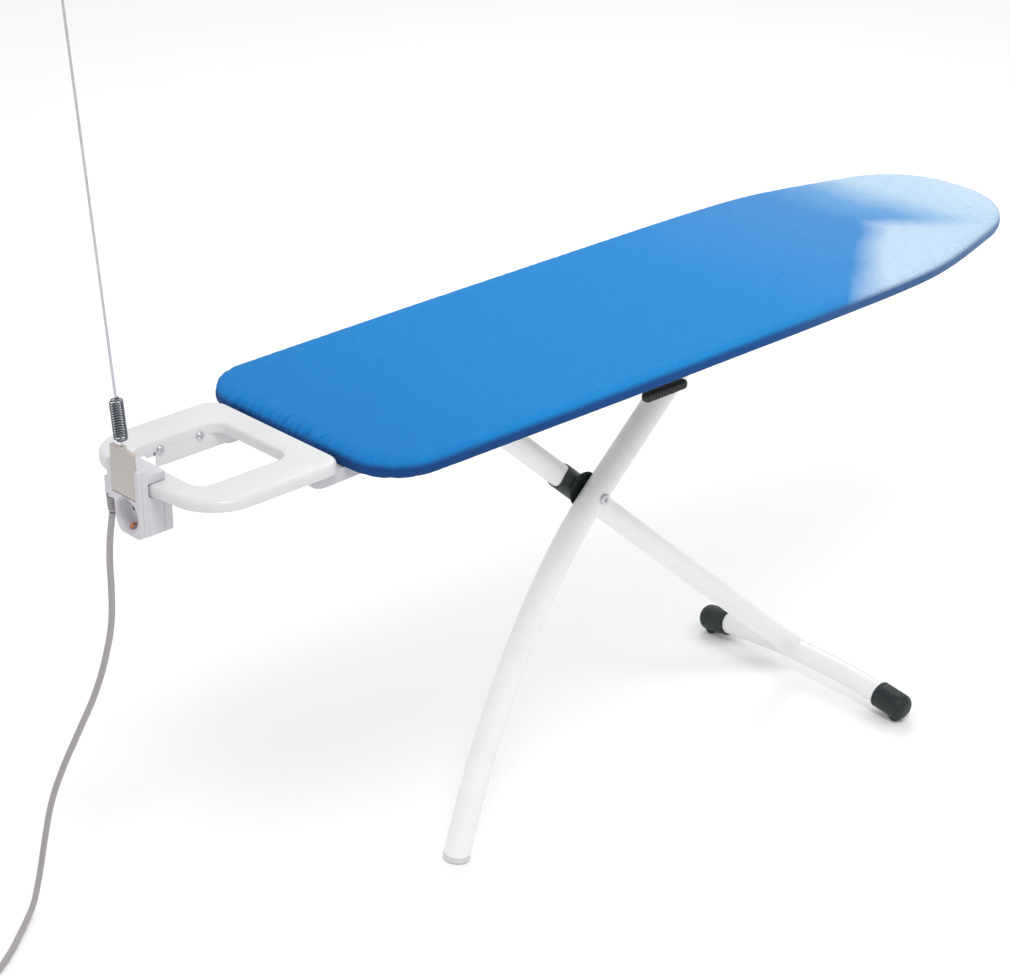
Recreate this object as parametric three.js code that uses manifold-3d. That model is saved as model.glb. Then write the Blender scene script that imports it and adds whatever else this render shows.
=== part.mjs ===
// Free-standing ironing board with a crossed two-leg frame, an iron rest with a clamp-on mains socket, a sprung
// cable guide rod, and a mains lead. Millimetres, +Z up, +X from the iron rest to the nose of the board.
// All places are written in the board frame: x = 0 at the head edge of the cover, y = 0 on the centre line,
// z = 0 on the floor. The exported group is then moved so that its origin is under the middle of its box.
import * as THREE from 'three';
import * as BufferGeometryUtils from 'three/addons/utils/BufferGeometryUtils.js';
import Module from 'manifold-3d';

const wasm = await Module();
wasm.setup();

// ---- driving dimensions -------------------------------------------------------------------------
const GAP = 0.3;                    // clearance between pieces that touch

const BOARD_LENGTH = 1252;
const BOARD_HEIGHT = 700;           // top of the cover above the floor
const HEAD_HALF_WIDTH = 186;
const BOARD_HALF_WIDTH = 190;
const HEAD_RADIUS = 72;
const COVER_SIDE = 23;              // height of the cover's side band
const COVER_SKIN = 1.5;
const COVER_LIP = 2.7;              // gathered hem under the rim, thickness
const LIP_WIDTH = 22;
const PAD_THICKNESS = 6;
const PLATE_THICKNESS = 0.5;        // as much steel as the expanded metal of the real surface
const RIM_WALL = 1.5;
const RIM_HEIGHT = 10;
const RIM_WIDTH = 12;

const FRAME_TOP = 676.7;            // underside of the cross members
const HINGE_Z = 655;                // plane of the leg hinge and of the sliding top pin
const LEG_ANGLE = THREE.MathUtils.degToRad(42);
const PIVOT = { x: 491.6, z: 454 };
const LEG_OFFSET = 21.5;            // leg planes lie at y = -LEG_OFFSET (leg A) and +LEG_OFFSET (leg B)
const LEG_HALF_Y = 19;              // legs are oval tubes, 38 across the board and 32 in the plane of the legs
const LEG_HALF_N = 16;
const LEG_WALL = 1.5;
const LEG_OVERHANG = 12;            // tube beyond its top pin
const SADDLE_SHELL = 2.2;
const FOOT_A_X = 242;
const FOOT_A_SLOPE = THREE.MathUtils.degToRad(74);
const FOOT_A_CAP = 8;

const FOOT_BAR_X = 954;
const FOOT_BAR_Z = 37;              // centre of the bar at leg B
const FOOT_END_Z = 20.5;            // centre of the bar at its ends
const FOOT_HALF_LENGTH = 200;
const FOOT_BAR_RADIUS = 16.5;
const FOOT_CAP_RADIUS = 19.5;
const FOOT_CAP_LENGTH = 52;
const FOOT_CAP_DOME = 13;

const RAIL = { start: 240, end: 905, inner: 47, outer: 60, thickness: 1.5, channel: 17 };
const LEVER_STRIP = 2.4;            // thickness of the release lever
const CROSS_MEMBERS = { head: 268, middle: 575, nose: 885 };

const REST = { back: -12, front: -212, bow: 5, halfWidth: 123, top: 697, plate: 4, skirt: 14, wall: 3 };
const REST_HOLE = { back: -50, front: -180, halfWidth: 68, radius: 18 };
const REST_WALL = { start: -140, end: -18, bottom: 663 };
const REST_SCREWS_X = [-134, -76];
const REST_SCREW_Z = 684;
const REST_ARM = 6;                 // thickness of the flat steel arms

const UNIT = { front: -232, plate: 14, left: 36, right: -24, top: 716, bottom: 631 };
const RECESS = { y: 1, z: 656, radius: 19.5, depth: 17 };
const GUIDE_PLATE = { left: 28, right: -16, bottom: 678, top: 737, thickness: 5 };
const ROD_LEAN = new THREE.Vector3(-0.045, 0.045, 1).normalize();
const SPRING = { start: 9, length: 52, radius: 8.4, wire: 1.2, turns: 12 };
const ROD_RADIUS = 1.5;
const ROD_LENGTH = 478;
const ROD_LOOP = 9;

const CORD_RADIUS = 4;
const COIL = { x: -450, y: 85, outer: 52, inner: 36, height: 16 };

// ---- materials ----------------------------------------------------------------------------------
const finish = (color, roughness, metalness = 0) => ({ color, roughness, metalness });
const WHITE_PAINT = finish(0xe9e9ea, 0.3);
const REST_PLASTIC = finish(0xf2f2f4, 0.35);
const GREY_PLASTIC = finish(0xc9cacb, 0.5);
const LILAC_PLASTIC = finish(0xd9d6de, 0.45);
const BEIGE_PLASTIC = finish(0xbdb5ae, 0.5);
const DARK_PLASTIC = finish(0x101f20, 0.5);
const STEEL = finish(0x9a9ca0, 0.3, 1);
const DARK_STEEL = finish(0x3b3d42, 0.35, 1);
const GALVANISED = finish(0xa9adb1, 0.45, 1);
const COPPER = finish(0xb0703c, 0.3, 1);
const FABRIC = finish(0x1f7fd0, 0.9);
const FOAM = finish(0xe6e2d6, 0.95);
const ELASTIC = finish(0xdcdcdc, 0.8);
const CORD_PVC = finish(0xb5b0b2, 0.55);

// ---- solids -------------------------------------------------------------------------------------
function solidOf(geometry) {
  const plain = geometry.clone();
  for (const name of Object.keys(plain.attributes)) {
    if (name !== 'position') plain.deleteAttribute(name);
  }
  const merged = BufferGeometryUtils.mergeVertices(plain, 1e-4);
  const positions = merged.attributes.position.array;
  const index = merged.index.array;
  return new wasm.Manifold(new wasm.Mesh({
    numProp: 3,
    vertProperties: new Float32Array(positions),
    triVerts: new Uint32Array(index),
  }));
}

function geometryOf(solid) {
  const mesh = solid.getMesh();
  const geometry = new THREE.BufferGeometry();
  geometry.setAttribute('position', new THREE.BufferAttribute(new Float32Array(mesh.vertProperties), 3));
  geometry.setIndex(new THREE.BufferAttribute(new Uint32Array(mesh.triVerts), 1));
  geometry.computeVertexNormals();
  return geometry;
}

const join = (...solids) => solids.reduce((total, solid) => total.add(solid));
const cut = (body, ...tools) => tools.reduce((rest, tool) => rest.subtract(tool), body);

function boxBetween(x0, x1, y0, y1, z0, z1) {
  const box = new THREE.BoxGeometry(Math.abs(x1 - x0), Math.abs(y1 - y0), Math.abs(z1 - z0));
  return solidOf(box.translate((x0 + x1) / 2, (y0 + y1) / 2, (z0 + z1) / 2));
}

// A cylinder, or a cone when the radii differ, from one point to another.
function rodBetween(from, to, radiusFrom, radiusTo = radiusFrom, sides = 16) {
  const start = new THREE.Vector3(...from);
  const axis = new THREE.Vector3(...to).sub(start);
  const rod = new THREE.CylinderGeometry(radiusTo, radiusFrom, axis.length(), sides);
  rod.translate(0, axis.length() / 2, 0);
  rod.applyQuaternion(new THREE.Quaternion().setFromUnitVectors(new THREE.Vector3(0, 1, 0), axis.normalize()));
  return solidOf(rod.translate(start.x, start.y, start.z));
}

function ringBetween(from, to, outer, inner, sides = 16) {
  const axis = new THREE.Vector3(...to).sub(new THREE.Vector3(...from)).normalize();
  const longFrom = new THREE.Vector3(...from).addScaledVector(axis, -1).toArray();
  const longTo = new THREE.Vector3(...to).add(axis).toArray();
  return cut(rodBetween(from, to, outer, outer, sides), rodBetween(longFrom, longTo, inner, inner, sides));
}

// A flat outline in X and Y, raised from z0 to z1.
function prism(outline, z0, z1, hole) {
  const shape = new THREE.Shape(outline);
  if (hole) shape.holes.push(new THREE.Path(hole));
  const geometry = new THREE.ExtrudeGeometry(shape, { depth: z1 - z0, bevelEnabled: false });
  return solidOf(geometry.translate(0, 0, z0));
}

// A flat outline given as [x, z] pairs, thick along Y from y0 to y1.
function sidePlate(pairs, y0, y1) {
  const shape = new THREE.Shape(pairs.map(([x, z]) => new THREE.Vector2(x, z)));
  const geometry = new THREE.ExtrudeGeometry(shape, { depth: y1 - y0, bevelEnabled: false });
  return solidOf(geometry.rotateX(Math.PI / 2).translate(0, y1, 0));
}

// A flat outline given as [y, z] pairs, thick along X from x0 to x1.
function frontPlate(pairs, x0, x1) {
  const shape = new THREE.Shape(pairs.map(([y, z]) => new THREE.Vector2(y, z)));
  const geometry = new THREE.ExtrudeGeometry(shape, { depth: x1 - x0, bevelEnabled: false });
  geometry.rotateX(Math.PI / 2).rotateZ(Math.PI / 2);
  return solidOf(geometry.translate(x0, 0, 0));
}

function ovalPoints(halfAcross, halfAlong, sides = 16) {
  return new THREE.EllipseCurve(0, 0, halfAcross, halfAlong).getPoints(sides).slice(0, sides);
}

// An oval section swept along a curve that lies in the plane of the legs or of the foot bar.
function sweep(curve, halfAcross, halfAlong, steps, sides = 16) {
  const shape = new THREE.Shape(ovalPoints(halfAcross, halfAlong, sides));
  return solidOf(new THREE.ExtrudeGeometry(shape, { steps, extrudePath: curve, bevelEnabled: false }));
}

function roundedRectangle(x0, x1, y0, y1, radius, divisions = 6) {
  const shape = new THREE.Shape();
  shape.moveTo(x0 + radius, y0);
  shape.lineTo(x1 - radius, y0);
  shape.absarc(x1 - radius, y0 + radius, radius, -Math.PI / 2, 0);
  shape.lineTo(x1, y1 - radius);
  shape.absarc(x1 - radius, y1 - radius, radius, 0, Math.PI / 2);
  shape.lineTo(x0 + radius, y1);
  shape.absarc(x0 + radius, y1 - radius, radius, Math.PI / 2, Math.PI);
  shape.lineTo(x0, y0 + radius);
  shape.absarc(x0 + radius, y0 + radius, radius, Math.PI, Math.PI * 1.5);
  return withoutRepeats(shape.getPoints(divisions));
}

function withoutRepeats(points) {
  const kept = points.filter((point, i) => i === 0 || point.distanceTo(points[i - 1]) > 0.05);
  if (kept[0].distanceTo(kept[kept.length - 1]) < 0.05) kept.pop();
  return kept;
}

// ---- the group ----------------------------------------------------------------------------------
const board = new THREE.Group();

function addPiece(name, solid, look) {
  const mesh = new THREE.Mesh(geometryOf(solid), new THREE.MeshStandardMaterial(look));
  mesh.name = name;
  board.add(mesh);
}

// ---- ironing surface ----------------------------------------------------------------------------
// Half of the board's outline, from the middle of the head edge to the tip of the nose.
function halfOutline() {
  const path = new THREE.Path();
  path.moveTo(0, 0);
  path.lineTo(0, HEAD_HALF_WIDTH - HEAD_RADIUS);
  path.absarc(HEAD_RADIUS, HEAD_HALF_WIDTH - HEAD_RADIUS, HEAD_RADIUS, Math.PI, Math.PI / 2, true);
  path.bezierCurveTo(300, 190, 450, BOARD_HALF_WIDTH, 640, BOARD_HALF_WIDTH);
  path.bezierCurveTo(780, BOARD_HALF_WIDTH, 895, 190, 965, 183);
  path.bezierCurveTo(1020, 177, 1080, 158, 1150, 137);
  path.bezierCurveTo(1209, 119, BOARD_LENGTH, 78, BOARD_LENGTH, 0);
  return withoutRepeats(path.getPoints(6));
}

// The whole outline, moved inward by inset along its own normals.
function boardOutline(inset) {
  const half = halfOutline();
  const mirrored = half.slice(1, -1).reverse().map((point) => new THREE.Vector2(point.x, -point.y));
  const outline = [...half, ...mirrored].reverse();
  return outline.map((point, i) => {
    const before = outline[(i + outline.length - 1) % outline.length];
    const after = outline[(i + 1) % outline.length];
    const inward = new THREE.Vector2(before.y - after.y, after.x - before.x).normalize();
    return point.clone().addScaledVector(inward, inset);
  });
}

function addSurface() {
  const bottom = BOARD_HEIGHT - COVER_SIDE;
  const cavityTop = BOARD_HEIGHT - COVER_SKIN - GAP;
  const cover = cut(
    prism(boardOutline(0), bottom, BOARD_HEIGHT),
    prism(boardOutline(COVER_SKIN), bottom + COVER_LIP, cavityTop),
    prism(boardOutline(LIP_WIDTH), bottom - 1, bottom + COVER_LIP + 1),
  );
  addPiece('cover', cover, FABRIC);
  const padTop = cavityTop - GAP;
  const padBottom = padTop - PAD_THICKNESS;
  addPiece('foam_pad', prism(boardOutline(COVER_SKIN + GAP), padBottom, padTop), FOAM);
  const plateTop = padBottom - GAP;
  const plateBottom = plateTop - PLATE_THICKNESS;
  addPiece('mesh_plate', prism(boardOutline(3), plateBottom, plateTop), GALVANISED);
  const rimTop = plateBottom - GAP;
  const rimBottom = rimTop - RIM_HEIGHT;
  const rim = prism(boardOutline(3), rimBottom, rimTop, boardOutline(3 + RIM_WIDTH));
  const grooveInner = boardOutline(3 + RIM_WIDTH - RIM_WALL);
  const groove = prism(boardOutline(3 + RIM_WALL), rimBottom - 1, rimTop - RIM_WALL, grooveInner);
  addPiece('board_rim', cut(rim, groove), WHITE_PAINT);
  const cordInset = LIP_WIDTH + GAP;
  const drawcord = prism(boardOutline(cordInset), bottom, bottom + COVER_LIP, boardOutline(cordInset + 3));
  addPiece('cover_drawcord', drawcord, ELASTIC);
  for (const [place, x] of Object.entries(CROSS_MEMBERS)) {
    const reach = place === 'nose' ? 158 : 163;
    const bar = boxBetween(x - 14, x + 14, -reach, reach, FRAME_TOP + GAP, plateBottom - GAP);
    const hollow = boxBetween(x - 12, x + 12, -reach - 1, reach + 1, FRAME_TOP + 2, plateBottom + 1);
    addPiece(`cross_member_${place}`, cut(bar, hollow), GALVANISED);
  }
}

// ---- rails, height rack and release lever -------------------------------------------------------
// F-shaped rail: a web with a channel for the glide bush of leg A, and a flange welded to the cross members.
function railSection(side) {
  const { inner, outer, thickness: t, channel } = RAIL;
  const low = HINGE_Z - channel / 2;
  const high = HINGE_Z + channel / 2;
  const section = [
    [inner, low - t], [outer, low - t], [outer, FRAME_TOP], [inner, FRAME_TOP], [inner, FRAME_TOP - t],
    [outer - t, FRAME_TOP - t], [outer - t, high + t], [inner, high + t], [inner, high], [outer - t, high],
    [outer - t, low], [inner, low],
  ].map(([y, z]) => [y * side, z]);
  return side > 0 ? section : section.reverse();
}

function addRails() {
  const hingeX = PIVOT.x - (HINGE_Z - PIVOT.z) / Math.tan(LEG_ANGLE);
  const pinHole = rodBetween([hingeX, -70, HINGE_Z], [hingeX, 70, HINGE_Z], 4.3);
  for (const [name, side] of [['rail_near', -1], ['rail_far', 1]]) {
    const rail = frontPlate(railSection(side), RAIL.start, RAIL.end);
    addPiece(name, cut(rail, pinHole), GALVANISED);
  }
  const reach = RAIL.outer + GAP;
  const hingePin = join(
    rodBetween([hingeX, -reach - 3, HINGE_Z], [hingeX, reach + 3, HINGE_Z], 4),
    rodBetween([hingeX, -reach - 3, HINGE_Z], [hingeX, -reach, HINGE_Z], 7),
    rodBetween([hingeX, reach, HINGE_Z], [hingeX, reach + 3, HINGE_Z], 7),
  );
  addPiece('leg_hinge_pin', hingePin, STEEL);
  const spacerEnd = LEG_OFFSET - LEG_HALF_Y - GAP;
  const spacer = ringBetween([hingeX, -RAIL.outer + 2, HINGE_Z], [hingeX, spacerEnd, HINGE_Z], 7, 4.3);
  addPiece('hinge_spacer', spacer, DARK_PLASTIC);
  addRack();
}

// Toothed strip between the legs. The release catch drops between its teeth and holds the top pin of leg A.
function addRack() {
  const start = 620;
  const teeth = 12;
  const pitch = 20;
  const low = HINGE_Z + 6;
  const outline = [[start - 10, FRAME_TOP], [start - 10, low + 4]];
  for (let i = 0; i < teeth; i += 1) {
    const x = start + i * pitch;
    outline.push([x, low + 4], [x + 4, low], [x + pitch - 4, low], [x + pitch - 2, low + 4]);
  }
  outline.push([start + teeth * pitch + 10, low + 4], [start + teeth * pitch + 10, FRAME_TOP]);
  addPiece('height_rack', sidePlate(outline.reverse(), -1.5, 1.5), GALVANISED);
}

function addReleaseLever() {
  const pinY = -70;
  const x0 = 432;
  const x1 = 508;
  const middle = (x0 + x1) / 2;
  const ear = (x) => boxBetween(x - 1.5, x + 1.5, pinY - 7, -RAIL.outer - GAP - 1, HINGE_Z - 8, HINGE_Z + 8);
  const bracket = cut(
    join(
      boxBetween(middle - 30, middle + 30, -RAIL.outer - GAP - 2, -RAIL.outer - GAP, HINGE_Z - 8, HINGE_Z + 8),
      ear(middle - 28.5),
      ear(middle + 28.5),
    ),
    rodBetween([middle - 35, pinY, HINGE_Z], [middle + 35, pinY, HINGE_Z], 2.8, 2.8, 16),
  );
  addPiece('lever_bracket', bracket, GALVANISED);
  addPiece('lever_pin', rodBetween([middle - 32, pinY, HINGE_Z], [middle + 32, pinY, HINGE_Z], 2.5), STEEL);
  const gripY = -164;
  const half = LEVER_STRIP / 2;
  const lever = cut(
    join(
      boxBetween(middle - 13, middle + 13, gripY + 5, pinY - 3, HINGE_Z - half, HINGE_Z + half),
      boxBetween(middle - 30, middle + 30, gripY - 2, gripY + 8, HINGE_Z - half, HINGE_Z + half),
      rodBetween([middle - 13, pinY, HINGE_Z], [middle + 13, pinY, HINGE_Z], 4.6),
    ),
    rodBetween([middle - 15, pinY, HINGE_Z], [middle + 15, pinY, HINGE_Z], 2.8, 2.8, 16),
  );
  addPiece('release_lever', lever, GALVANISED);
  addLeverGrip(x0, x1, gripY);
  addLeverSpring(middle + 20.5, pinY);
}

// Moulded grip with rounded ends and ribs across its length.
function addLeverGrip(x0, x1, gripY) {
  const halfWidth = 7;
  const halfHeight = 6.5;
  const outline = roundedRectangle(x0, x1, gripY - halfWidth, gripY + halfWidth, halfWidth - 0.5, 5);
  let grip = prism(outline, HINGE_Z - halfHeight, HINGE_Z + halfHeight);
  for (let x = x0 + 12; x < x1 - 8; x += 7) {
    for (const z of [HINGE_Z - halfHeight, HINGE_Z + halfHeight]) {
      grip = cut(grip, rodBetween([x, gripY - 10, z], [x, gripY + 10, z], 1.4, 1.4, 4));
    }
    const face = gripY - halfWidth;
    grip = cut(grip, rodBetween([x, face, HINGE_Z - 9], [x, face, HINGE_Z + 9], 1.4, 1.4, 4));
  }
  const slotHalf = LEVER_STRIP / 2 + GAP;
  const [slotLow, slotHigh] = [HINGE_Z - slotHalf, HINGE_Z + slotHalf];
  const slot = boxBetween(x0 + 8 - GAP, x1 - 8 + GAP, gripY - 2 - GAP, gripY + 10, slotLow, slotHigh);
  addPiece('lever_grip', cut(grip, slot), DARK_PLASTIC);
}

// Closed helix of round wire along an axis from start, with its ends cut square.
function coilSpring(start, axis, radius, wire, turns, pitch, stepsPerTurn, sides) {
  class Helix extends THREE.Curve {
    getPoint(t, target = new THREE.Vector3()) {
      const angle = t * turns * Math.PI * 2;
      return target.set(Math.cos(angle) * radius, Math.sin(angle) * radius, t * turns * pitch);
    }
  }
  const shape = new THREE.Shape(ovalPoints(wire, wire, sides));
  const geometry = new THREE.ExtrudeGeometry(shape, {
    steps: turns * stepsPerTurn, extrudePath: new Helix(), bevelEnabled: false,
  });
  geometry.applyQuaternion(new THREE.Quaternion().setFromUnitVectors(new THREE.Vector3(0, 0, 1), axis));
  return solidOf(geometry.translate(...start));
}

// Torsion spring round the lever pin, which pushes the grip down again.
function addLeverSpring(x, pinY) {
  const spring = coilSpring([x - 5, pinY, HINGE_Z], new THREE.Vector3(1, 0, 0), 3.9, 0.6, 4, 2.2, 7, 4);
  addPiece('lever_spring', spring, STEEL);
}

// ---- legs ---------------------------------------------------------------------------------------
const legDirection = (sign) => new THREE.Vector3(Math.cos(LEG_ANGLE) * sign, 0, Math.sin(LEG_ANGLE));

// Straight from the sliding top pin to below the crossing, then bowed to stand steeply on its single foot.
function legACurve() {
  const up = legDirection(1);
  const armLength = (HINGE_Z - PIVOT.z) / Math.sin(LEG_ANGLE);
  const pivot = new THREE.Vector3(PIVOT.x, -LEG_OFFSET, PIVOT.z);
  const top = pivot.clone().addScaledVector(up, armLength + LEG_OVERHANG);
  const footDirection = new THREE.Vector3(Math.cos(FOOT_A_SLOPE), 0, Math.sin(FOOT_A_SLOPE));
  const foot = new THREE.Vector3(FOOT_A_X, -LEG_OFFSET, 0).addScaledVector(footDirection, -12);
  const curve = new THREE.CurvePath();
  curve.add(new THREE.LineCurve3(top, pivot));
  curve.add(new THREE.CubicBezierCurve3(
    pivot,
    pivot.clone().addScaledVector(up, -150),
    foot.clone().addScaledVector(footDirection, 182),
    foot,
  ));
  return curve;
}

// The curve's even steps, as one smooth curve that ExtrudeGeometry can follow.
function evenly(curve, count) {
  return new THREE.CatmullRomCurve3(curve.getSpacedPoints(count));
}

function addLegA() {
  const path = evenly(legACurve(), 14);
  const armLength = (HINGE_Z - PIVOT.z) / Math.sin(LEG_ANGLE);
  const topX = PIVOT.x + Math.cos(LEG_ANGLE) * armLength;
  const bore = sweep(extended(path), LEG_HALF_Y - LEG_WALL, LEG_HALF_N - LEG_WALL, 12, 12);
  const tube = cut(
    sweep(path, LEG_HALF_Y, LEG_HALF_N, 12),
    bore,
    boxBetween(FOOT_A_X - 60, FOOT_A_X + 60, -60, 60, -40, FOOT_A_CAP),
    rodBetween([topX, -70, HINGE_Z], [topX, 70, HINGE_Z], 4.3),
    rodBetween([PIVOT.x, -70, PIVOT.z], [PIVOT.x, 70, PIVOT.z], 4.4),
  );
  addPiece('leg_a_tube', tube, WHITE_PAINT);
  const capOutline = ovalPoints(LEG_HALF_N / Math.sin(FOOT_A_SLOPE) + 0.6, LEG_HALF_Y + 0.6, 24)
    .map((point) => new THREE.Vector2(point.x + FOOT_A_X + 1.3, point.y - LEG_OFFSET));
  const plugOutline = ovalPoints(LEG_HALF_N - LEG_WALL - 1.6, LEG_HALF_Y - LEG_WALL - 1.6)
    .map((point) => new THREE.Vector2(point.x + FOOT_A_X + 3.4, point.y - LEG_OFFSET));
  const cap = join(prism(capOutline, 0, FOOT_A_CAP - GAP), prism(plugOutline, 1, FOOT_A_CAP + 6));
  addPiece('leg_a_foot_cap', cap, REST_PLASTIC);
  const pinReach = RAIL.outer - RAIL.thickness - 1;
  addPiece('slider_pin', rodBetween([topX, -pinReach, HINGE_Z], [topX, pinReach, HINGE_Z], 4), STEEL);
  for (const [name, side] of [['glide_bush_near', -1], ['glide_bush_far', 1]]) {
    const from = [topX, side * (RAIL.inner - 5), HINGE_Z];
    const to = [topX, side * (pinReach - 0.5), HINGE_Z];
    addPiece(name, ringBetween(from, to, RAIL.channel / 2 - 0.5, 4.3, 20), DARK_PLASTIC);
  }
  addPivot();
}

// The same curve with a short straight piece added at each end, so that a bore runs out of both ends.
function extended(curve) {
  const points = curve.getSpacedPoints(14);
  const startStep = points[0].clone().sub(points[1]).normalize().multiplyScalar(3);
  const last = points[points.length - 1];
  const endStep = last.clone().sub(points[points.length - 2]).normalize().multiplyScalar(3);
  return new THREE.CatmullRomCurve3([points[0].clone().add(startStep), ...points, last.clone().add(endStep)]);
}

// Hollow rivet through both legs, with a flared ring head on each side.
function addPivot() {
  const near = -LEG_OFFSET - LEG_HALF_Y - GAP;
  const far = LEG_OFFSET + LEG_HALF_Y + SADDLE_SHELL + GAP;
  const at = (y) => [PIVOT.x, y, PIVOT.z];
  const rivet = cut(
    join(
      rodBetween(at(near - 2.6), at(far + 2.6), 4),
      rodBetween(at(near - 2.6), at(near), 5.5, 7.6, 24),
      rodBetween(at(far), at(far + 2.6), 7.6, 5.5, 24),
    ),
    rodBetween(at(near - 6), at(far + 6), 2.6, 2.6, 12),
  );
  addPiece('pivot_rivet', rivet, STEEL);
}

function legBPath() {
  const down = legDirection(-1).negate();
  const armLength = (HINGE_Z - PIVOT.z) / Math.sin(LEG_ANGLE);
  const pivot = new THREE.Vector3(PIVOT.x, LEG_OFFSET, PIVOT.z);
  const top = pivot.clone().addScaledVector(down, -armLength - LEG_OVERHANG);
  const bottom = pivot.clone().addScaledVector(down, (FOOT_BAR_X - PIVOT.x) / Math.cos(LEG_ANGLE));
  return new THREE.LineCurve3(top, bottom);
}

// The foot bar droops from leg B to its two ends.
function footBarCurve(halfLength) {
  const drop = (FOOT_BAR_Z - FOOT_END_Z) * (halfLength / FOOT_HALF_LENGTH);
  return new THREE.QuadraticBezierCurve3(
    new THREE.Vector3(FOOT_BAR_X, -halfLength, FOOT_BAR_Z - drop),
    new THREE.Vector3(FOOT_BAR_X, 0, FOOT_BAR_Z + drop),
    new THREE.Vector3(FOOT_BAR_X, halfLength, FOOT_BAR_Z - drop),
  );
}

function addLegB() {
  const path = legBPath();
  const hingeX = PIVOT.x - (HINGE_Z - PIVOT.z) / Math.tan(LEG_ANGLE);
  const barHalf = FOOT_HALF_LENGTH - 12;
  const barPath = footBarCurve(barHalf);
  const tube = cut(
    sweep(path, LEG_HALF_Y, LEG_HALF_N, 1),
    sweep(extended(path), LEG_HALF_Y - LEG_WALL, LEG_HALF_N - LEG_WALL, 1, 12),
    sweep(barPath, FOOT_BAR_RADIUS + GAP, FOOT_BAR_RADIUS + GAP, 6),
    boxBetween(FOOT_BAR_X, FOOT_BAR_X + 60, -60, 60, -40, 120),
    rodBetween([hingeX, -70, HINGE_Z], [hingeX, 70, HINGE_Z], 4.3),
    rodBetween([PIVOT.x, -70, PIVOT.z], [PIVOT.x, 70, PIVOT.z], 4.4),
  );
  addPiece('leg_b_tube', tube.decompose().sort((a, b) => b.volume() - a.volume())[0], WHITE_PAINT);
  const bar = cut(
    sweep(barPath, FOOT_BAR_RADIUS, FOOT_BAR_RADIUS, 6),
    sweep(extended(barPath), FOOT_BAR_RADIUS - LEG_WALL, FOOT_BAR_RADIUS - LEG_WALL, 6, 12),
  );
  addPiece('foot_bar', bar, WHITE_PAINT);
  addFootCap('foot_cap_near', -1);
  addFootCap('foot_cap_far', 1);
  addPivotSaddle();
}

// Domed sleeve pushed over each end of the foot bar, with a flat pad under it that stands on the floor.
function addFootCap(name, side) {
  const inner = FOOT_HALF_LENGTH - FOOT_CAP_LENGTH;
  const heightAt = (y) => FOOT_BAR_Z - (FOOT_BAR_Z - FOOT_END_Z) * (y / FOOT_HALF_LENGTH) ** 2;
  const start = new THREE.Vector3(FOOT_BAR_X, side * inner, heightAt(inner));
  const end = new THREE.Vector3(FOOT_BAR_X, side * FOOT_HALF_LENGTH, heightAt(FOOT_HALF_LENGTH));
  const length = start.distanceTo(end);
  const profile = [[0, 0], [FOOT_CAP_RADIUS - 1, 0], [FOOT_CAP_RADIUS, 1]].map((pair) => new THREE.Vector2(...pair));
  for (let i = 0; i <= 5; i += 1) {
    const angle = (i / 5) * (Math.PI / 2);
    const radius = FOOT_CAP_RADIUS * Math.cos(angle) ** 0.75;
    profile.push(new THREE.Vector2(radius, length - FOOT_CAP_DOME * (1 - Math.sin(angle))));
  }
  profile[profile.length - 1].x = 0;
  const axis = end.clone().sub(start).normalize();
  const lathe = new THREE.LatheGeometry(profile, 20);
  lathe.applyQuaternion(new THREE.Quaternion().setFromUnitVectors(new THREE.Vector3(0, 1, 0), axis));
  const padEnd = side * (FOOT_HALF_LENGTH - 9);
  const pad = boxBetween(FOOT_BAR_X - 12, FOOT_BAR_X + 12, side * (inner + 3), padEnd, 0, 16);
  const under = boxBetween(FOOT_BAR_X - 40, FOOT_BAR_X + 40, side * (inner - 9), side * 220, -40, 0);
  const boreRadius = FOOT_BAR_RADIUS + GAP;
  const bore = sweep(footBarCurve(FOOT_HALF_LENGTH - 12 + GAP), boreRadius, boreRadius, 6);
  const body = join(solidOf(lathe.translate(...start.toArray())), pad);
  addPiece(name, cut(body, under, bore), DARK_PLASTIC);
}

// Moulded saddle round leg B at the crossing, with a thin flange that keeps the two legs apart.
function addPivotSaddle() {
  const up = legDirection(-1);
  const pivot = new THREE.Vector3(PIVOT.x, LEG_OFFSET, PIVOT.z);
  const lineAlong = (from, to) => new THREE.LineCurve3(
    pivot.clone().addScaledVector(up, from), pivot.clone().addScaledVector(up, to),
  );
  const shell = SADDLE_SHELL;
  const top = 44;
  const low = -20;
  const round = 62;
  const centre = pivot.clone().addScaledVector(up, top - round / 2);
  const trim = rodBetween([centre.x, -60, centre.z], [centre.x, 90, centre.z], round / 2, round / 2, 24);
  const sleeve = cut(
    sweep(lineAlong(low, top), LEG_HALF_Y + shell, LEG_HALF_N + shell, 1, 20).intersect(
      join(trim, sweep(lineAlong(low - 1, top - round / 2), 40, 40, 1, 8)),
    ),
    sweep(lineAlong(low - 2, top + 2), LEG_HALF_Y + GAP, LEG_HALF_N + GAP, 1, 16),
  );
  const near = LEG_OFFSET - LEG_HALF_Y - shell;
  const flange = rodBetween([PIVOT.x, near - 1.6, PIVOT.z], [PIVOT.x, near + 0.6, PIVOT.z], 25, 25, 28);
  const clear = sweep(lineAlong(low - 30, top + 2), LEG_HALF_Y + GAP, LEG_HALF_N + GAP, 1, 16);
  const hole = rodBetween([PIVOT.x, -70, PIVOT.z], [PIVOT.x, 70, PIVOT.z], 4.6);
  addPiece('pivot_saddle', cut(join(sleeve, flange), clear, hole), DARK_PLASTIC);
}

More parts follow.
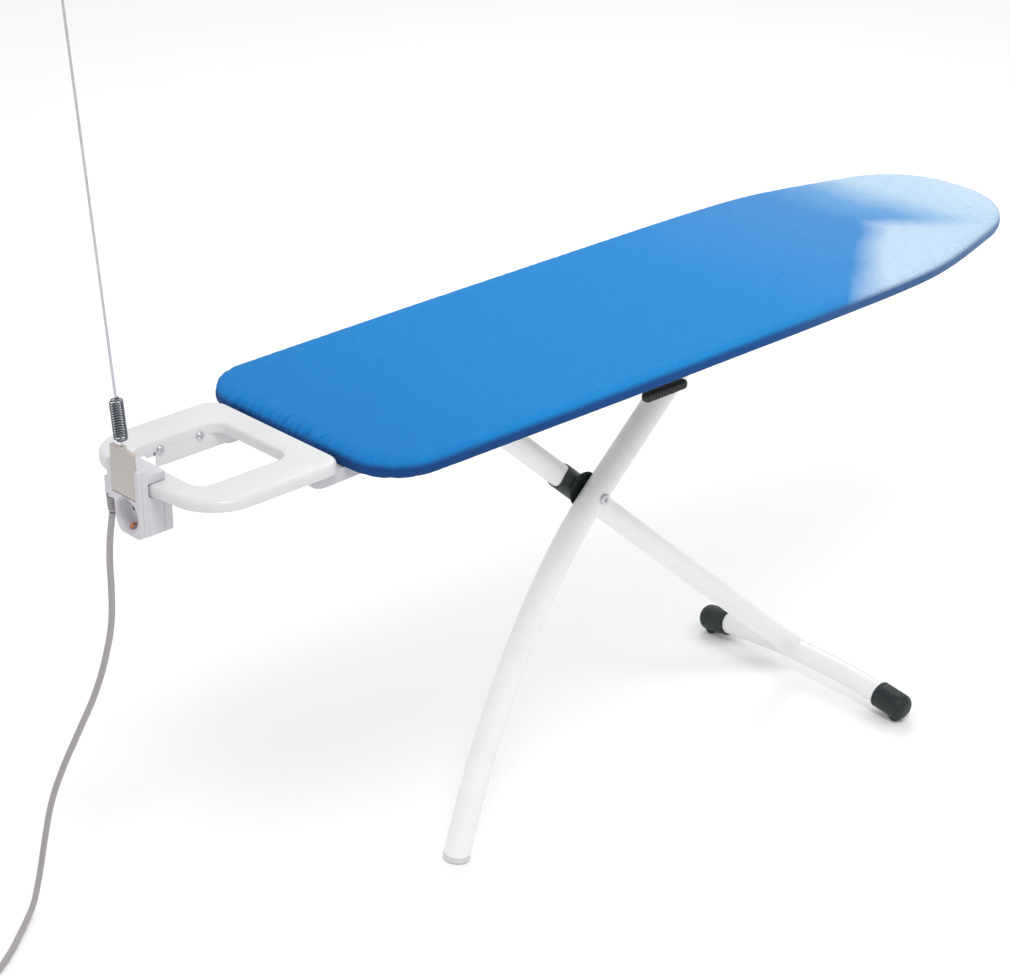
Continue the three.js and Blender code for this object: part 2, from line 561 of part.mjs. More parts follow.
// ---- iron rest ----------------------------------------------------------------------------------
function restOutline(inset) {
  const { back, front, bow, halfWidth } = REST;
  const w = halfWidth - inset;
  const x1 = back - inset;
  const x0 = front + inset;
  const backRadius = 26 - inset;
  const frontRadius = 62 - inset;
  const shape = new THREE.Shape();
  shape.moveTo(x1, 0);
  shape.lineTo(x1, w - backRadius);
  shape.absarc(x1 - backRadius, w - backRadius, backRadius, 0, Math.PI / 2);
  shape.lineTo(x0 + frontRadius, w);
  shape.absarc(x0 + frontRadius, w - frontRadius, frontRadius, Math.PI / 2, Math.PI);
  shape.quadraticCurveTo(x0 - bow, (w - frontRadius) / 2, x0 - bow, 0);
  shape.quadraticCurveTo(x0 - bow, -(w - frontRadius) / 2, x0, -(w - frontRadius));
  shape.absarc(x0 + frontRadius, -(w - frontRadius), frontRadius, Math.PI, Math.PI * 1.5);
  shape.lineTo(x1 - backRadius, -w);
  shape.absarc(x1 - backRadius, -(w - backRadius), backRadius, Math.PI * 1.5, Math.PI * 2);
  return withoutRepeats(shape.getPoints(5));
}

function restHole(grow) {
  const { back, front, halfWidth, radius } = REST_HOLE;
  return roundedRectangle(front - grow, back + grow, -halfWidth - grow, halfWidth + grow, radius + grow, 4);
}

function addIronRest() {
  const { top, plate, skirt, wall } = REST;
  const skirtBottom = top - skirt;
  let rest = join(
    prism(restOutline(0), top - plate, top, restHole(0)),
    prism(restOutline(0), skirtBottom, top - plate + 0.5, restOutline(wall)),
    prism(restHole(wall), skirtBottom, top - plate + 0.5, restHole(0)),
  );
  for (const side of [-1, 1]) {
    const y0 = side * REST_HOLE.halfWidth;
    const y1 = side * (REST_HOLE.halfWidth + wall);
    rest = join(rest, boxBetween(REST_WALL.start, REST_WALL.end, y0, y1, REST_WALL.bottom, top - plate + 0.5));
    for (const x of REST_SCREWS_X) {
      rest = cut(rest, rodBetween([x, y0 - side, REST_SCREW_Z], [x, y1 + side, REST_SCREW_Z], 2.4, 2.4, 8));
    }
  }
  const socketSlot = boxBetween(-230, -176, UNIT.right - GAP, UNIT.left + GAP, skirtBottom - 2, skirtBottom);
  addPiece('iron_rest', cut(rest, socketSlot), REST_PLASTIC);
  for (const [name, side] of [['near', -1], ['far', 1]]) addRestSupport(name, side);
  addRestScrews();
  addRestHook();
}

// Cranked flat bar inside the side of the rest, which runs on under the board, and the bracket moulded round it.
function addRestSupport(name, side) {
  const y0 = REST_HOLE.halfWidth + REST.wall + GAP;
  const span = (from, to) => [Math.min(side * from, side * to), Math.max(side * from, side * to)];
  const profile = (grow) => [
    [-150, 677 - grow], [-54, 677 - grow], [-28, 664 - grow], [254, 664 - grow],
    [254, FRAME_TOP - 1 + grow], [-22, FRAME_TOP - 1 + grow], [-48, 690 + grow], [-150, 690 + grow],
  ];
  let arm = sidePlate(profile(0), ...span(y0, y0 + REST_ARM));
  for (const x of REST_SCREWS_X) {
    const [from, to] = [y0 - 1, y0 + REST_ARM + 1].map((y) => [x, side * y, REST_SCREW_Z]);
    const hole = rodBetween(from, to, 2.3, 2.3, 8);
    arm = cut(arm, hole);
  }
  addPiece(`rest_arm_${name}`, arm, STEEL);
  const bracketOutline = [
    [-20, 659], [90, 662], [90, 676.4], [-14, 676.4], [-18, 682.4], [-48, 682.4], [-50, 672], [-42, 663],
    [-32, 659.5],
  ];
  const bracket = cut(
    sidePlate(bracketOutline, ...span(y0, y0 + 30)),
    sidePlate(profile(GAP), ...span(y0 - 2, y0 + REST_ARM + GAP)),
  );
  const body = bracket.decompose().sort((a, b) => b.volume() - a.volume())[0];
  addPiece(`rest_bracket_${name}`, body, GREY_PLASTIC);
}

// Pan-head screws with a cross recess, through the inner walls of the rest into its arms.
function addRestScrews() {
  for (const [name, side] of [['near', -1], ['far', 1]]) {
    REST_SCREWS_X.forEach((x, i) => {
      const wallFace = side * (REST_HOLE.halfWidth - GAP);
      const headFace = wallFace - side * 2.6;
      const at = (y) => [x, y, REST_SCREW_Z];
      const recess = headFace + side * 1.4;
      const screw = cut(
        join(
          rodBetween(at(headFace), at(wallFace), 4.6, 5.8),
          rodBetween(at(wallFace - side * 0.5), at(side * (REST_HOLE.halfWidth + REST_ARM + 6)), 2, 2, 8),
        ),
        boxBetween(x - 3, x + 3, headFace - side, recess, REST_SCREW_Z - 0.6, REST_SCREW_Z + 0.6),
        boxBetween(x - 0.6, x + 0.6, headFace - side, recess, REST_SCREW_Z - 3, REST_SCREW_Z + 3),
      );
      addPiece(`rest_screw_${name}_${i + 1}`, screw, STEEL);
    });
  }
}

// Small blackened steel catch at the far back corner of the rest.
function addRestHook() {
  const outline = [
    [-17, 674], [-17, 664], [-11, 664], [-11, 657], [-5, 657], [-5, 661], [-7.5, 661], [-7.5, 669], [-1, 669],
    [-1, 674],
  ];
  const y1 = REST_HOLE.halfWidth + REST.wall;
  addPiece('rest_catch', sidePlate(outline, y1 - 4, y1), DARK_STEEL);
}

// ---- clamp-on socket unit -----------------------------------------------------------------------
function addSocketUnit() {
  const { front, plate, left, right, top, bottom } = UNIT;
  const barTop = REST.top;
  const barBottom = REST.top - REST.skirt;
  const face = new THREE.Shape();
  face.moveTo(right, bottom + 6);
  face.quadraticCurveTo(right, bottom, right + 6, bottom);
  face.lineTo(left - 24, bottom);
  face.quadraticCurveTo(left - 12, bottom + 3, left - 11, bottom + 37);
  face.lineTo(left, bottom + 37);
  face.lineTo(left, top);
  face.lineTo(right, top);
  const facePairs = withoutRepeats(face.getPoints(5)).map((point) => [point.x, point.y]);
  const housing = [
    [right, bottom + 3], [right + 3, bottom], [left - 18, bottom], [left - 12, bottom + 8],
    [left - 11, barBottom - 1.2],
    [right, barBottom - 1.2],
  ];
  const body = join(
    frontPlate(facePairs, front, front + plate),
    frontPlate(housing, front + plate - 1, front + 46),
    boxBetween(front + plate - 1, front + 38, right, left, barTop + GAP, barTop + 12),
    boxBetween(front + 2, front + plate - 0.5, left - 2, left + 10, 668, 690),
  );
  const guide = GUIDE_PLATE;
  const hollow = join(
    boxBetween(front - 1, front + guide.thickness + GAP, guide.right - GAP, guide.left + GAP,
      guide.bottom - GAP, top + 1),
    rodBetween([front - 1, RECESS.y, RECESS.z], [front + RECESS.depth + 3, RECESS.y, RECESS.z],
      RECESS.radius + 1.5, RECESS.radius + 1.5, 28),
    boxBetween(front + plate + 4, front + 41, right + 3, left - 14, bottom + 3, barBottom - 4),
  );
  addPiece('socket_body', cut(body, hollow), LILAC_PLASTIC);
  addSocketInsert();
  addGuidePlate();
}

// Round cup with its two contact holes and the slots for the earth springs.
function addSocketInsert() {
  const { front } = UNIT;
  const at = (x) => [x, RECESS.y, RECESS.z];
  const outer = RECESS.radius + 1.5 - GAP;
  const backFace = front + RECESS.depth + 3 - GAP;
  let cup = cut(
    rodBetween(at(front + 0.4), at(backFace), outer, outer, 28),
    rodBetween(at(front - 1), at(front + RECESS.depth - 1), RECESS.radius, RECESS.radius - 1, 28),
  );
  for (const side of [-1, 1]) {
    const y = RECESS.y + side * 9.5;
    cup = cut(cup, rodBetween([front, y, RECESS.z], [backFace + 2, y, RECESS.z], 2.6, 2.6, 12));
  }
  addPiece('socket_insert', cup, LILAC_PLASTIC);
  for (const [name, side] of [['earth_clip_top', 1], ['earth_clip_bottom', -1]]) {
    const outerZ = side * (RECESS.radius - 1.4);
    const strip = [
      [front + 4, RECESS.z + outerZ - side * 1], [front + 7, RECESS.z + outerZ - side * 4.5],
      [front + 12, RECESS.z + outerZ - side * 4.5], [front + 15, RECESS.z + outerZ - side * 1],
      [front + 15, RECESS.z + outerZ], [front + 12.4, RECESS.z + outerZ - side * 3.5],
      [front + 6.6, RECESS.z + outerZ - side * 3.5], [front + 4, RECESS.z + outerZ],
    ];
    const ordered = side > 0 ? strip : strip.reverse();
    addPiece(name, sidePlate(ordered, RECESS.y - 2.5, RECESS.y + 2.5), COPPER);
  }
}

// Flat insert that carries the cable guide. It slides in the front of the socket body from above.
function addGuidePlate() {
  const { front } = UNIT;
  const { left, right, bottom, top, thickness } = GUIDE_PLATE;
  let plate = boxBetween(front, front + thickness, right, left, bottom, top);
  for (let z = UNIT.top + 4; z < top - 2; z += 3) {
    for (const y of [left, right]) {
      plate = cut(plate, rodBetween([front - 1, y, z], [front + thickness + 1, y, z], 0.9, 0.9, 6));
    }
  }
  const rodX = front + thickness / 2;
  const rodY = (left + right) / 2;
  const slot = rodBetween([rodX, rodY, top - 9], [rodX, rodY, top + 1], 1.7, 1.7, 16);
  addPiece('guide_plate', cut(plate, slot), BEIGE_PLASTIC);
  addGuideRod(new THREE.Vector3(rodX, rodY, top));
}

// Spring foot, coil spring and rod of the cable guide, all on one slightly leaning line.
function addGuideRod(base) {
  const along = (distance) => base.clone().addScaledVector(ROD_LEAN, distance).toArray();
  const footTop = SPRING.start + 6;
  const foot = join(
    rodBetween([base.x, base.y, base.z - 8], base.toArray(), 1.3, 1.3, 12),
    rodBetween(base.toArray(), along(footTop), 1.3, 1.3, 12),
    rodBetween([base.x, base.y, base.z - 0.4], [base.x, base.y, base.z + 0.6], 1.5, 1.5, 12),
  );
  addPiece('spring_foot', foot, STEEL);
  const pitch = SPRING.length / SPRING.turns;
  const spring = coilSpring(along(SPRING.start), ROD_LEAN, SPRING.radius - SPRING.wire, SPRING.wire,
    SPRING.turns, pitch, 7, 4);
  addPiece('guide_spring', spring, DARK_STEEL);
  const rodStart = SPRING.start + SPRING.length - 12;
  const rodEnd = SPRING.start + SPRING.length + ROD_LENGTH;
  const loopCentre = new THREE.Vector3(...along(rodEnd + ROD_LOOP));
  const loop = new THREE.TorusGeometry(ROD_LOOP, ROD_RADIUS, 8, 20).rotateY(Math.PI / 2);
  const rod = join(
    rodBetween(along(rodStart), along(rodEnd + 0.5), ROD_RADIUS, ROD_RADIUS, 12),
    solidOf(loop.translate(...loopCentre.toArray())),
  );
  addPiece('guide_rod', rod, STEEL);
}

// ---- mains lead ---------------------------------------------------------------------------------
const CORD_ROUTE = [
  [-225, 40, 643.7], [-225, 44, 628], [-225, 49, 605], [-225, 52.5, 575], [-225, 53, 540], [-225, 57, 497],
  [-225, 71, 450], [-225, 99, 386], [-225, 142, 312], [-225, 187, 236], [-225, 219, 172], [-225, 240, 112],
  [-226, 253, 66], [-230, 258, 36], [-242, 253, 13], [-263, 238, 4.4], [-290, 216, 4], [-320, 192, 4],
  [-352, 171, 4], [-380, 157, 4], [-408, 147.5, 4], [-432, 142, 4],
];
const TAIL_ROUTE = [[-458, 26.5, 13], [-446, 24, 15.5], [-434, 21.5, 18.6]];

function cordTube(points, steps) {
  const knots = points.map((point) => new THREE.Vector3(...point));
  const curve = new THREE.CatmullRomCurve3(knots, false, 'centripetal');
  const shape = new THREE.Shape(ovalPoints(CORD_RADIUS, CORD_RADIUS, 8));
  return solidOf(new THREE.ExtrudeGeometry(shape, { steps, extrudePath: curve, bevelEnabled: false }));
}

function addMainsLead() {
  const exit = CORD_ROUTE[0];
  const relief = rodBetween([exit[0], exit[1], 667.7], [exit[0], exit[1], exit[2] + 1.5], 6.2, 4.9, 16);
  addPiece('cord_strain_relief', relief, CORD_PVC);
  addPiece('mains_cord', cordTube(CORD_ROUTE, 48), CORD_PVC);
  const { x, y, inner, outer, height } = COIL;
  const profile = [
    [inner + 2, 0.1], [outer - 2, 0.1], [outer, 3], [outer, height - 3], [outer - 2, height],
    [inner + 2, height],
    [inner, height - 3], [inner, 3], [inner + 2, 0.1],
  ].map(([radius, z]) => new THREE.Vector2(radius, z));
  const ring = new THREE.LatheGeometry(profile, 24).rotateX(Math.PI / 2);
  addPiece('cord_coil', solidOf(ring.translate(x, y, 0)), CORD_PVC);
  addPiece('cord_tail', cordTube(TAIL_ROUTE, 3), CORD_PVC);
  addPlug();
}

// Two-pin earthed plug that lies on its side beyond the coil.
function addPlug() {
  const start = new THREE.Vector3(...TAIL_ROUTE[TAIL_ROUTE.length - 1]);
  const heading = new THREE.Vector3(0.98, -0.2, 0).normalize();
  const along = (distance, side = 0) => start.clone()
    .addScaledVector(heading, distance)
    .add(new THREE.Vector3(-heading.y * side, heading.x * side, 0))
    .toArray();
  const body = join(
    rodBetween(along(1.6), along(14), 5.2, 7.5, 20),
    rodBetween(along(13), along(26), 11, 18.4, 20),
    rodBetween(along(25.9), along(44), 18.4, 18.4, 20),
  );
  addPiece('mains_plug', body, CORD_PVC);
  for (const [name, side] of [['plug_pin_left', 9.5], ['plug_pin_right', -9.5]]) {
    addPiece(name, rodBetween(along(44 + GAP, side), along(62, side), 2.4, 2.4, 16), STEEL);
  }
}

// ---- assembly -----------------------------------------------------------------------------------
const LEAD_PIECES = ['cord_strain_relief', 'mains_cord', 'cord_coil', 'cord_tail', 'mains_plug',
  'plug_pin_left', 'plug_pin_right'];

// The origin goes under the middle of the board's own box, which leaves the mains lead out.
function centreOnFloor() {
  const box = new THREE.Box3();
  for (const mesh of board.children) {
    if (!LEAD_PIECES.includes(mesh.name)) box.expandByObject(mesh);
  }
  board.position.set(-(box.min.x + box.max.x) / 2, -(box.min.y + box.max.y) / 2, 0);
}

addSurface();
addRails();
addReleaseLever();
addLegA();
addLegB();
addIronRest();
addSocketUnit();
addMainsLead();
centreOnFloor();

export default board;
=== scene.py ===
import math

import bmesh
import bpy
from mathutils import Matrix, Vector, noise


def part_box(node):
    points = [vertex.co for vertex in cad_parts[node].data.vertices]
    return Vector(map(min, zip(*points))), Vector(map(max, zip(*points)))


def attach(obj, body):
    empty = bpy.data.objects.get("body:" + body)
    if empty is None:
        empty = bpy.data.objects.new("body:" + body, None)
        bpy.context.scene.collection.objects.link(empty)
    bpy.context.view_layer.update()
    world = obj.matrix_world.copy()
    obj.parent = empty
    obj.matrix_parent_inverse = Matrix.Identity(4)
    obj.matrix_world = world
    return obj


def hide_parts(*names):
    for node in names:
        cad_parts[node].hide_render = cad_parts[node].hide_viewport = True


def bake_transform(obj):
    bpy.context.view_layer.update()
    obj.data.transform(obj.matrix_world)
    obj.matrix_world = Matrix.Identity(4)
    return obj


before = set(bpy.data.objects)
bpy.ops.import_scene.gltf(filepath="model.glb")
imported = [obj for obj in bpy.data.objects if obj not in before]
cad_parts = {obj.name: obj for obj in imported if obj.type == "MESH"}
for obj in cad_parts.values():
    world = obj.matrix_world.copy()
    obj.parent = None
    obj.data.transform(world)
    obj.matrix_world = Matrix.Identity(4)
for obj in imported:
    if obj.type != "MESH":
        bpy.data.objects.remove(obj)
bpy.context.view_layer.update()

MM = 0.001
COVER_LOW, COVER_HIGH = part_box("cover")
HEAD_X = COVER_LOW.x


def at(x, y, z):
    """A point of the board's own frame, in metres in the row frame."""
    return Vector((HEAD_X + x * MM, y * MM, z * MM))


def smooth(t):
    t = min(max(t, 0.0), 1.0)
    return t * t * (3 - 2 * t)


def wobble(x, y=0.0, z=0.0):
    """Repeatable noise from -1 to 1."""
    return noise.noise(Vector((x, y, z)))


def spin(count):
    """Even angles once round."""
    return [2 * math.pi * k / count for k in range(count)]


def new_object(name, data):
    made = bpy.data.objects.new(name, data)
    bpy.context.scene.collection.objects.link(made)
    return made


# ---- camera and studio ----
CAMERA_PLACE = (-1873, -2398, 2058)
CAMERA_DOWN, CAMERA_TURN = 25.45, 42.84     # degrees


def add_camera():
    camera = new_object("camera", bpy.data.cameras.new("camera"))
    camera.location = at(*CAMERA_PLACE)
    camera.rotation_euler = (math.radians(90 - CAMERA_DOWN), 0, math.radians(-CAMERA_TURN))
    camera.data.lens = 100.66
    camera.data.sensor_width = 36
    camera.data.clip_end = 50
    bpy.context.scene.camera = camera


def add_area_light(name, place, aim, size, power):
    data = bpy.data.lights.new(name, "AREA")
    data.shape = "DISK"
    data.size = size
    data.energy = power
    light = new_object(name, data)
    light.location = place
    light.rotation_euler = (Vector(aim) - Vector(place)).to_track_quat("-Z", "Y").to_euler()


def add_studio():
    bpy.context.scene.view_settings.view_transform = "Standard"
    world = bpy.data.worlds.new("studio")
    world.use_nodes = True
    background = world.node_tree.nodes["Background"]
    background.inputs["Color"].default_value = (1.0, 1.0, 1.0, 1)
    background.inputs["Strength"].default_value = 0.88
    bpy.context.scene.world = world
    add_area_light("key", (-1.0, -1.6, 3.4), (0, 0, 0.4), 1.2, 40)
    add_area_light("fill", (2.2, 1.8, 2.8), (0, 0, 0.2), 1.6, 22)
    bpy.ops.mesh.primitive_plane_add(size=60, location=(0, 0, -0.0006))
    floor = bpy.context.active_object
    floor.name = "floor"
    floor.data.materials.append(plain_floor())


# ---- materials ----
def linear(colour):
    """A colour written as 0 to 255 display values, as the linear RGBA that shaders take."""
    parts = [c / 255 for c in colour]
    return (*[c / 12.92 if c <= 0.04045 else ((c + 0.055) / 1.055) ** 2.4 for c in parts], 1.0)


def darker(colour, share):
    return (*[c * share for c in linear(colour)[:3]], 1.0)


class Shader:
    """A new material with short calls for its nodes."""

    def __init__(self, name, roughness, metallic=0.0):
        self.material = bpy.data.materials.new(name)
        self.material.use_nodes = True
        self.tree = self.material.node_tree
        self.surface = self.tree.nodes["Principled BSDF"]
        self.surface.inputs["Roughness"].default_value = roughness
        self.surface.inputs["Metallic"].default_value = metallic
        self.place = self.node("ShaderNodeTexCoord", {}).outputs["Object"]

    def feed(self, socket, value):
        """A number or a colour is set on the socket, and an output is linked to it."""
        if isinstance(value, (int, float, tuple)):
            socket.default_value = value
        else:
            self.tree.links.new(value, socket)

    def node(self, kind, inputs, **settings):
        made = self.tree.nodes.new(kind)
        for name, value in settings.items():
            setattr(made, name, value)
        for name, value in inputs.items():
            self.feed(made.inputs[name], value)
        return made

    def scaled(self, scale):
        return self.node("ShaderNodeMapping", {"Scale": scale, "Vector": self.place}).outputs["Vector"]

    def noise(self, scale, detail=4.0, source=None):
        inputs = {"Scale": scale, "Detail": detail, "Vector": source or self.place}
        return self.node("ShaderNodeTexNoise", inputs).outputs["Fac"]

    def cells(self, scale):
        return self.node("ShaderNodeTexVoronoi", {"Scale": scale, "Vector": self.place})

    def wave(self, scale, direction):
        inputs = {"Scale": scale, "Vector": self.place}
        return self.node("ShaderNodeTexWave", inputs, bands_direction=direction).outputs["Fac"]

    def ramp(self, source, *stops):
        """Stops are (place, colour): three numbers are 0 to 255 display values, four are linear RGBA."""
        made = self.node("ShaderNodeValToRGB", {"Fac": source})
        while len(made.color_ramp.elements) < len(stops):
            made.color_ramp.elements.new(0.5)
        for element, (place, colour) in zip(made.color_ramp.elements, stops):
            element.position = place
            element.color = linear(colour) if len(colour) == 3 else colour
        return made.outputs["Color"]

    def spread(self, source, low, high, to_low=0.0, to_high=1.0):
        inputs = {"Value": source, "From Min": low, "From Max": high, "To Min": to_low, "To Max": to_high}
        return self.node("ShaderNodeMapRange", inputs).outputs["Result"]

    def math(self, operation, first, second=0.0):
        return self.node("ShaderNodeMath", {0: first, 1: second}, operation=operation).outputs["Value"]

    def mix(self, amount, first, second, blend="MIX"):
        inputs = {"Factor": amount, "A": first, "B": second}
        return self.node("ShaderNodeMix", inputs, data_type="RGBA", blend_type=blend).outputs["Result"]

    def colour(self, source):
        self.feed(self.surface.inputs["Base Color"], source)

    def rough(self, source, low, high):
        self.feed(self.surface.inputs["Roughness"], self.spread(source, 0.3, 0.7, low, high))

    def bump(self, height, strength, distance):
        made = self.node("ShaderNodeBump", {"Strength": strength, "Distance": distance, "Height": height})
        self.feed(self.surface.inputs["Normal"], made.outputs["Normal"])


def plain_floor():
    shader = Shader("floor_paint", 0.75)
    tint = shader.ramp(shader.noise(2.0), (0.3, (0.955, 0.955, 0.958, 1)), (0.7, (0.97, 0.97, 0.972, 1)))
    shader.colour(tint)
    return shader.material


def moulding(name, colour, roughness, grain=0.0, grain_scale=220.0):
    """Injection-moulded plastic: faint flow marks, handling marks in the gloss, and a fine grain."""
    shader = Shader(name, roughness)
    shader.colour(shader.ramp(shader.noise(14.0, 3.0), (0.3, darker(colour, 0.94)), (0.7, colour)))
    shader.rough(shader.noise(25.0, 3.0), roughness * 0.92, min(roughness * 1.1, 1.0))
    shader.bump(shader.noise(grain_scale, 2.0), 0.025 + grain, 0.0002)
    shader.surface.inputs["IOR"].default_value = 1.49
    return shader.material


def powder_coat():
    """Glossy white powder coat with its slight orange peel."""
    shader = Shader("white_powder_coat", 0.26)
    shader.colour(shader.ramp(shader.noise(9.0, 3.0), (0.3, (228, 228, 230)), (0.7, (234, 234, 236))))
    shader.rough(shader.noise(20.0, 2.0), 0.27, 0.32)
    shader.bump(shader.noise(110.0, 2.0), 0.02, 0.0002)
    return shader.material


def bright_metal(name, colour, roughness, stretch=(60, 60, 900)):
    """Drawn or plated metal: fine marks along its length and uneven gloss."""
    shader = Shader(name, roughness, 1.0)
    marks = shader.noise(1.0, 4.0, shader.scaled(stretch))
    shader.colour(shader.ramp(marks, (0.3, darker(colour, 0.75)), (0.65, colour)))
    shader.rough(shader.noise(30.0, 5.0), roughness * 0.8, roughness * 1.4)
    shader.bump(marks, 0.08, 0.0002)
    return shader.material


def zinc_plate():
    """Galvanised sheet with its cloudy crystals."""
    shader = Shader("zinc_plate", 0.42, 1.0)
    tone = shader.mix(0.5, shader.cells(160.0).outputs["Color"], shader.noise(40.0))
    grey = shader.node("ShaderNodeRGBToBW", {"Color": tone}).outputs["Val"]
    shader.colour(shader.ramp(grey, (0.25, (150, 153, 157)), (0.8, (196, 199, 203))))
    shader.rough(grey, 0.34, 0.52)
    shader.bump(shader.noise(500.0), 0.1, 0.0002)
    return shader.material


def cover_cloth():
    """Woven cotton: deep blue that pales to the nose in soft slanted bands, heathered by uneven yarn; the side
    band is darker, partly from the print and partly from painted shade.
    """
    shader = Shader("cover_cloth", 0.86)
    place = shader.node("ShaderNodeSeparateXYZ", {"Vector": shader.place}).outputs
    x = shader.math("ADD", place["X"], shader.spread(shader.noise(7.0, 2.0), 0.2, 0.8, -0.02, 0.02))
    along = shader.spread(x, HEAD_X, COVER_HIGH.x)
    body = shader.ramp(
        along,
        (0.0, (16, 120, 190)),
        (0.2, (18, 130, 200)),
        (0.55, (30, 136, 205)),
        (0.8, (72, 143, 206)),
        (0.86, (112, 166, 216)),
        (0.915, (190, 214, 234)),
        (1.0, (206, 222, 238)),
    )
    # Side band colours: darker blues, partly the cloth's print and partly painted shade on the side band.
    side_print_and_shade_stops = ((0.0, (12, 64, 122)), (0.5, (16, 76, 140)), (0.75, (72, 104, 148)), (1.0, (122, 148, 184)))
    side = shader.ramp(along, *side_print_and_shade_stops)
    off_band = shader.math("ABSOLUTE", shader.math("SUBTRACT", x, HEAD_X + 1.02))
    slant = shader.math("MULTIPLY", off_band, 0.8)
    reach = shader.math("SUBTRACT", shader.math("MULTIPLY", place["Y"], -1.0), slant)
    top = shader.mix(shader.spread(reach, 0.0, 0.055), body, linear((196, 215, 235)))
    # Below the top edge the cloth takes the side colours, darker partly from the print and partly from painted
    # shade.
    edge = shader.spread(place["Z"], COVER_HIGH.z - 0.012, COVER_HIGH.z - 0.005)
    cloth = shader.mix(edge, side, top)
    yarns = [shader.noise(1.0, 3.0, shader.scaled(scale)) for scale in ((60, 500, 300), (500, 60, 300))]
    slubs = shader.math("ADD", *yarns)
    heather = shader.ramp(shader.spread(slubs, 0.7, 1.3), (0.0, (0.68, 0.78, 0.86, 1)), (1.0, (1, 1, 1, 1)))
    shader.colour(shader.mix(0.8, cloth, heather, "MULTIPLY"))
    weave = shader.math("MULTIPLY", shader.wave(620.0, "X"), shader.wave(620.0, "Y"))
    shader.bump(shader.math("ADD", shader.math("MULTIPLY", weave, 0.5), slubs), 0.35, 0.0006)
    shader.surface.inputs["Specular IOR Level"].default_value = 0.25
    return shader.material


def foam():
    shader = Shader("pad_foam", 0.95)
    pores = shader.cells(420.0).outputs["Distance"]
    shader.colour(shader.ramp(pores, (0.0, (196, 192, 180)), (0.5, (232, 229, 219))))
    shader.bump(pores, 0.5, 0.0012)
    return shader.material


def woven_cord():
    shader = Shader("woven_cord", 0.85)
    strands = shader.math("ADD", shader.wave(380.0, "DIAGONAL"), shader.wave(310.0, "X"))
    tone = shader.spread(strands, 0.0, 2.0)
    shader.colour(shader.ramp(tone, (0.2, (190, 192, 196)), (0.8, (238, 239, 241))))
    shader.bump(strands, 0.5, 0.0005)
    return shader.material


POWDER = powder_coat()
ZINC = zinc_plate()
CHROME = bright_metal("bright_steel", (205, 207, 211), 0.24)
SPRING_STEEL = bright_metal("spring_steel", (112, 116, 124), 0.3, (300, 300, 300))
COPPER = bright_metal("copper_plate", (206, 132, 84), 0.3, (500, 500, 500))
WHITE = moulding("white_moulding", (210, 210, 212), 0.3)
GREY = moulding("light_grey_moulding", (196, 197, 200), 0.45)
LILAC = moulding("lilac_white_moulding", (200, 198, 203), 0.42)
BEIGE = moulding("grey_beige_moulding", (184, 178, 173), 0.48)
DARK = moulding("dark_green_moulding", (6, 25, 26), 0.5, 0.1, 400.0)
BLACK = moulding("black_grip_moulding", (14, 15, 17), 0.45, 0.1, 400.0)
PVC = moulding("cord_pvc", (158, 153, 157), 0.5)
CLOTH = cover_cloth()


# ---- mesh tools ----
def shade(piece, angle=35):
    """Smooth shading, with edges sharper than the angle kept crisp."""
    work = bmesh.new()
    work.from_mesh(piece.data)
    bmesh.ops.recalc_face_normals(work, faces=work.faces)
    limit = math.radians(angle)
    for edge in work.edges:
        edge.smooth = edge.is_boundary or edge.calc_face_angle(0.0) < limit
    for face in work.faces:
        face.smooth = True
    work.to_mesh(piece.data)
    work.free()
    return piece


def add_mesh(name, vertices, faces, material):
    mesh = bpy.data.meshes.new(name)
    mesh.from_pydata([tuple(v) for v in vertices], [], faces)
    mesh.validate()
    mesh.materials.append(material)
    return shade(new_object(name, mesh))


def from_bmesh(work, name, material):
    mesh = bpy.data.meshes.new(name)
    work.to_mesh(mesh)
    work.free()
    mesh.materials.append(material)
    return new_object(name, mesh)


def welded(piece, angle, distance):
    """Points closer than the distance, in metres, become one."""
    work = bmesh.new()
    work.from_mesh(piece.data)
    bmesh.ops.remove_doubles(work, verts=work.verts, dist=distance)
    work.to_mesh(piece.data)
    work.free()
    return shade(piece, angle)


def put(piece, body, slot, *nodes):
    """The piece rides on a body and stands for these CAD nodes. slot is not used."""
    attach(piece, body)
    if nodes:
        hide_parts(*nodes)
    return piece


def joined(name, pieces):
    """Several meshes as one piece."""
    work = bmesh.new()
    materials = []
    for piece in pieces:
        start = len(work.faces)
        work.from_mesh(piece.data)
        work.faces.ensure_lookup_table()
        materials += [m for m in piece.data.materials if m not in materials]
        slots = [materials.index(m) for m in piece.data.materials]
        for face in work.faces[start:]:
            face.material_index = slots[face.material_index]
        bpy.data.objects.remove(piece)
    made = from_bmesh(work, name, materials[0])
    for material in materials[1:]:
        made.data.materials.append(material)
    return made


def skin(total, count, looped=False):
    """Faces between rings of points that follow each other. looped joins the last ring to the first."""
    faces = []
    for r in range(total if looped else total - 1):
        a, b = r * count, (r + 1) % total * count
        faces += [(a + i, a + (i + 1) % count, b + (i + 1) % count, b + i) for i in range(count)]
    return faces


def loft(name, rings, material, capped=False, looped=False):
    """Skin over rings that have the same number of points."""
    count = len(rings[0])
    vertices = [point for ring in rings for point in ring]
    faces = skin(len(rings), count, looped)
    if capped:
        faces += [tuple(range(count)), tuple(range((len(rings) - 1) * count, len(rings) * count))]
    return add_mesh(name, vertices, faces, material)


def rounded_box(name, low, high, radius, material):
    """A block between two corners with rounded edges."""
    work = bmesh.new()
    bmesh.ops.create_cube(work, size=1.0)
    middle = (low + high) / 2
    size = high - low
    for vertex in work.verts:
        vertex.co = Vector((vertex.co[i] * size[i] + middle[i] for i in range(3)))
    bmesh.ops.bevel(work, geom=work.edges[:], offset=radius, segments=3, affect="EDGES", profile=0.5)
    return shade(from_bmesh(work, name, material), 50)


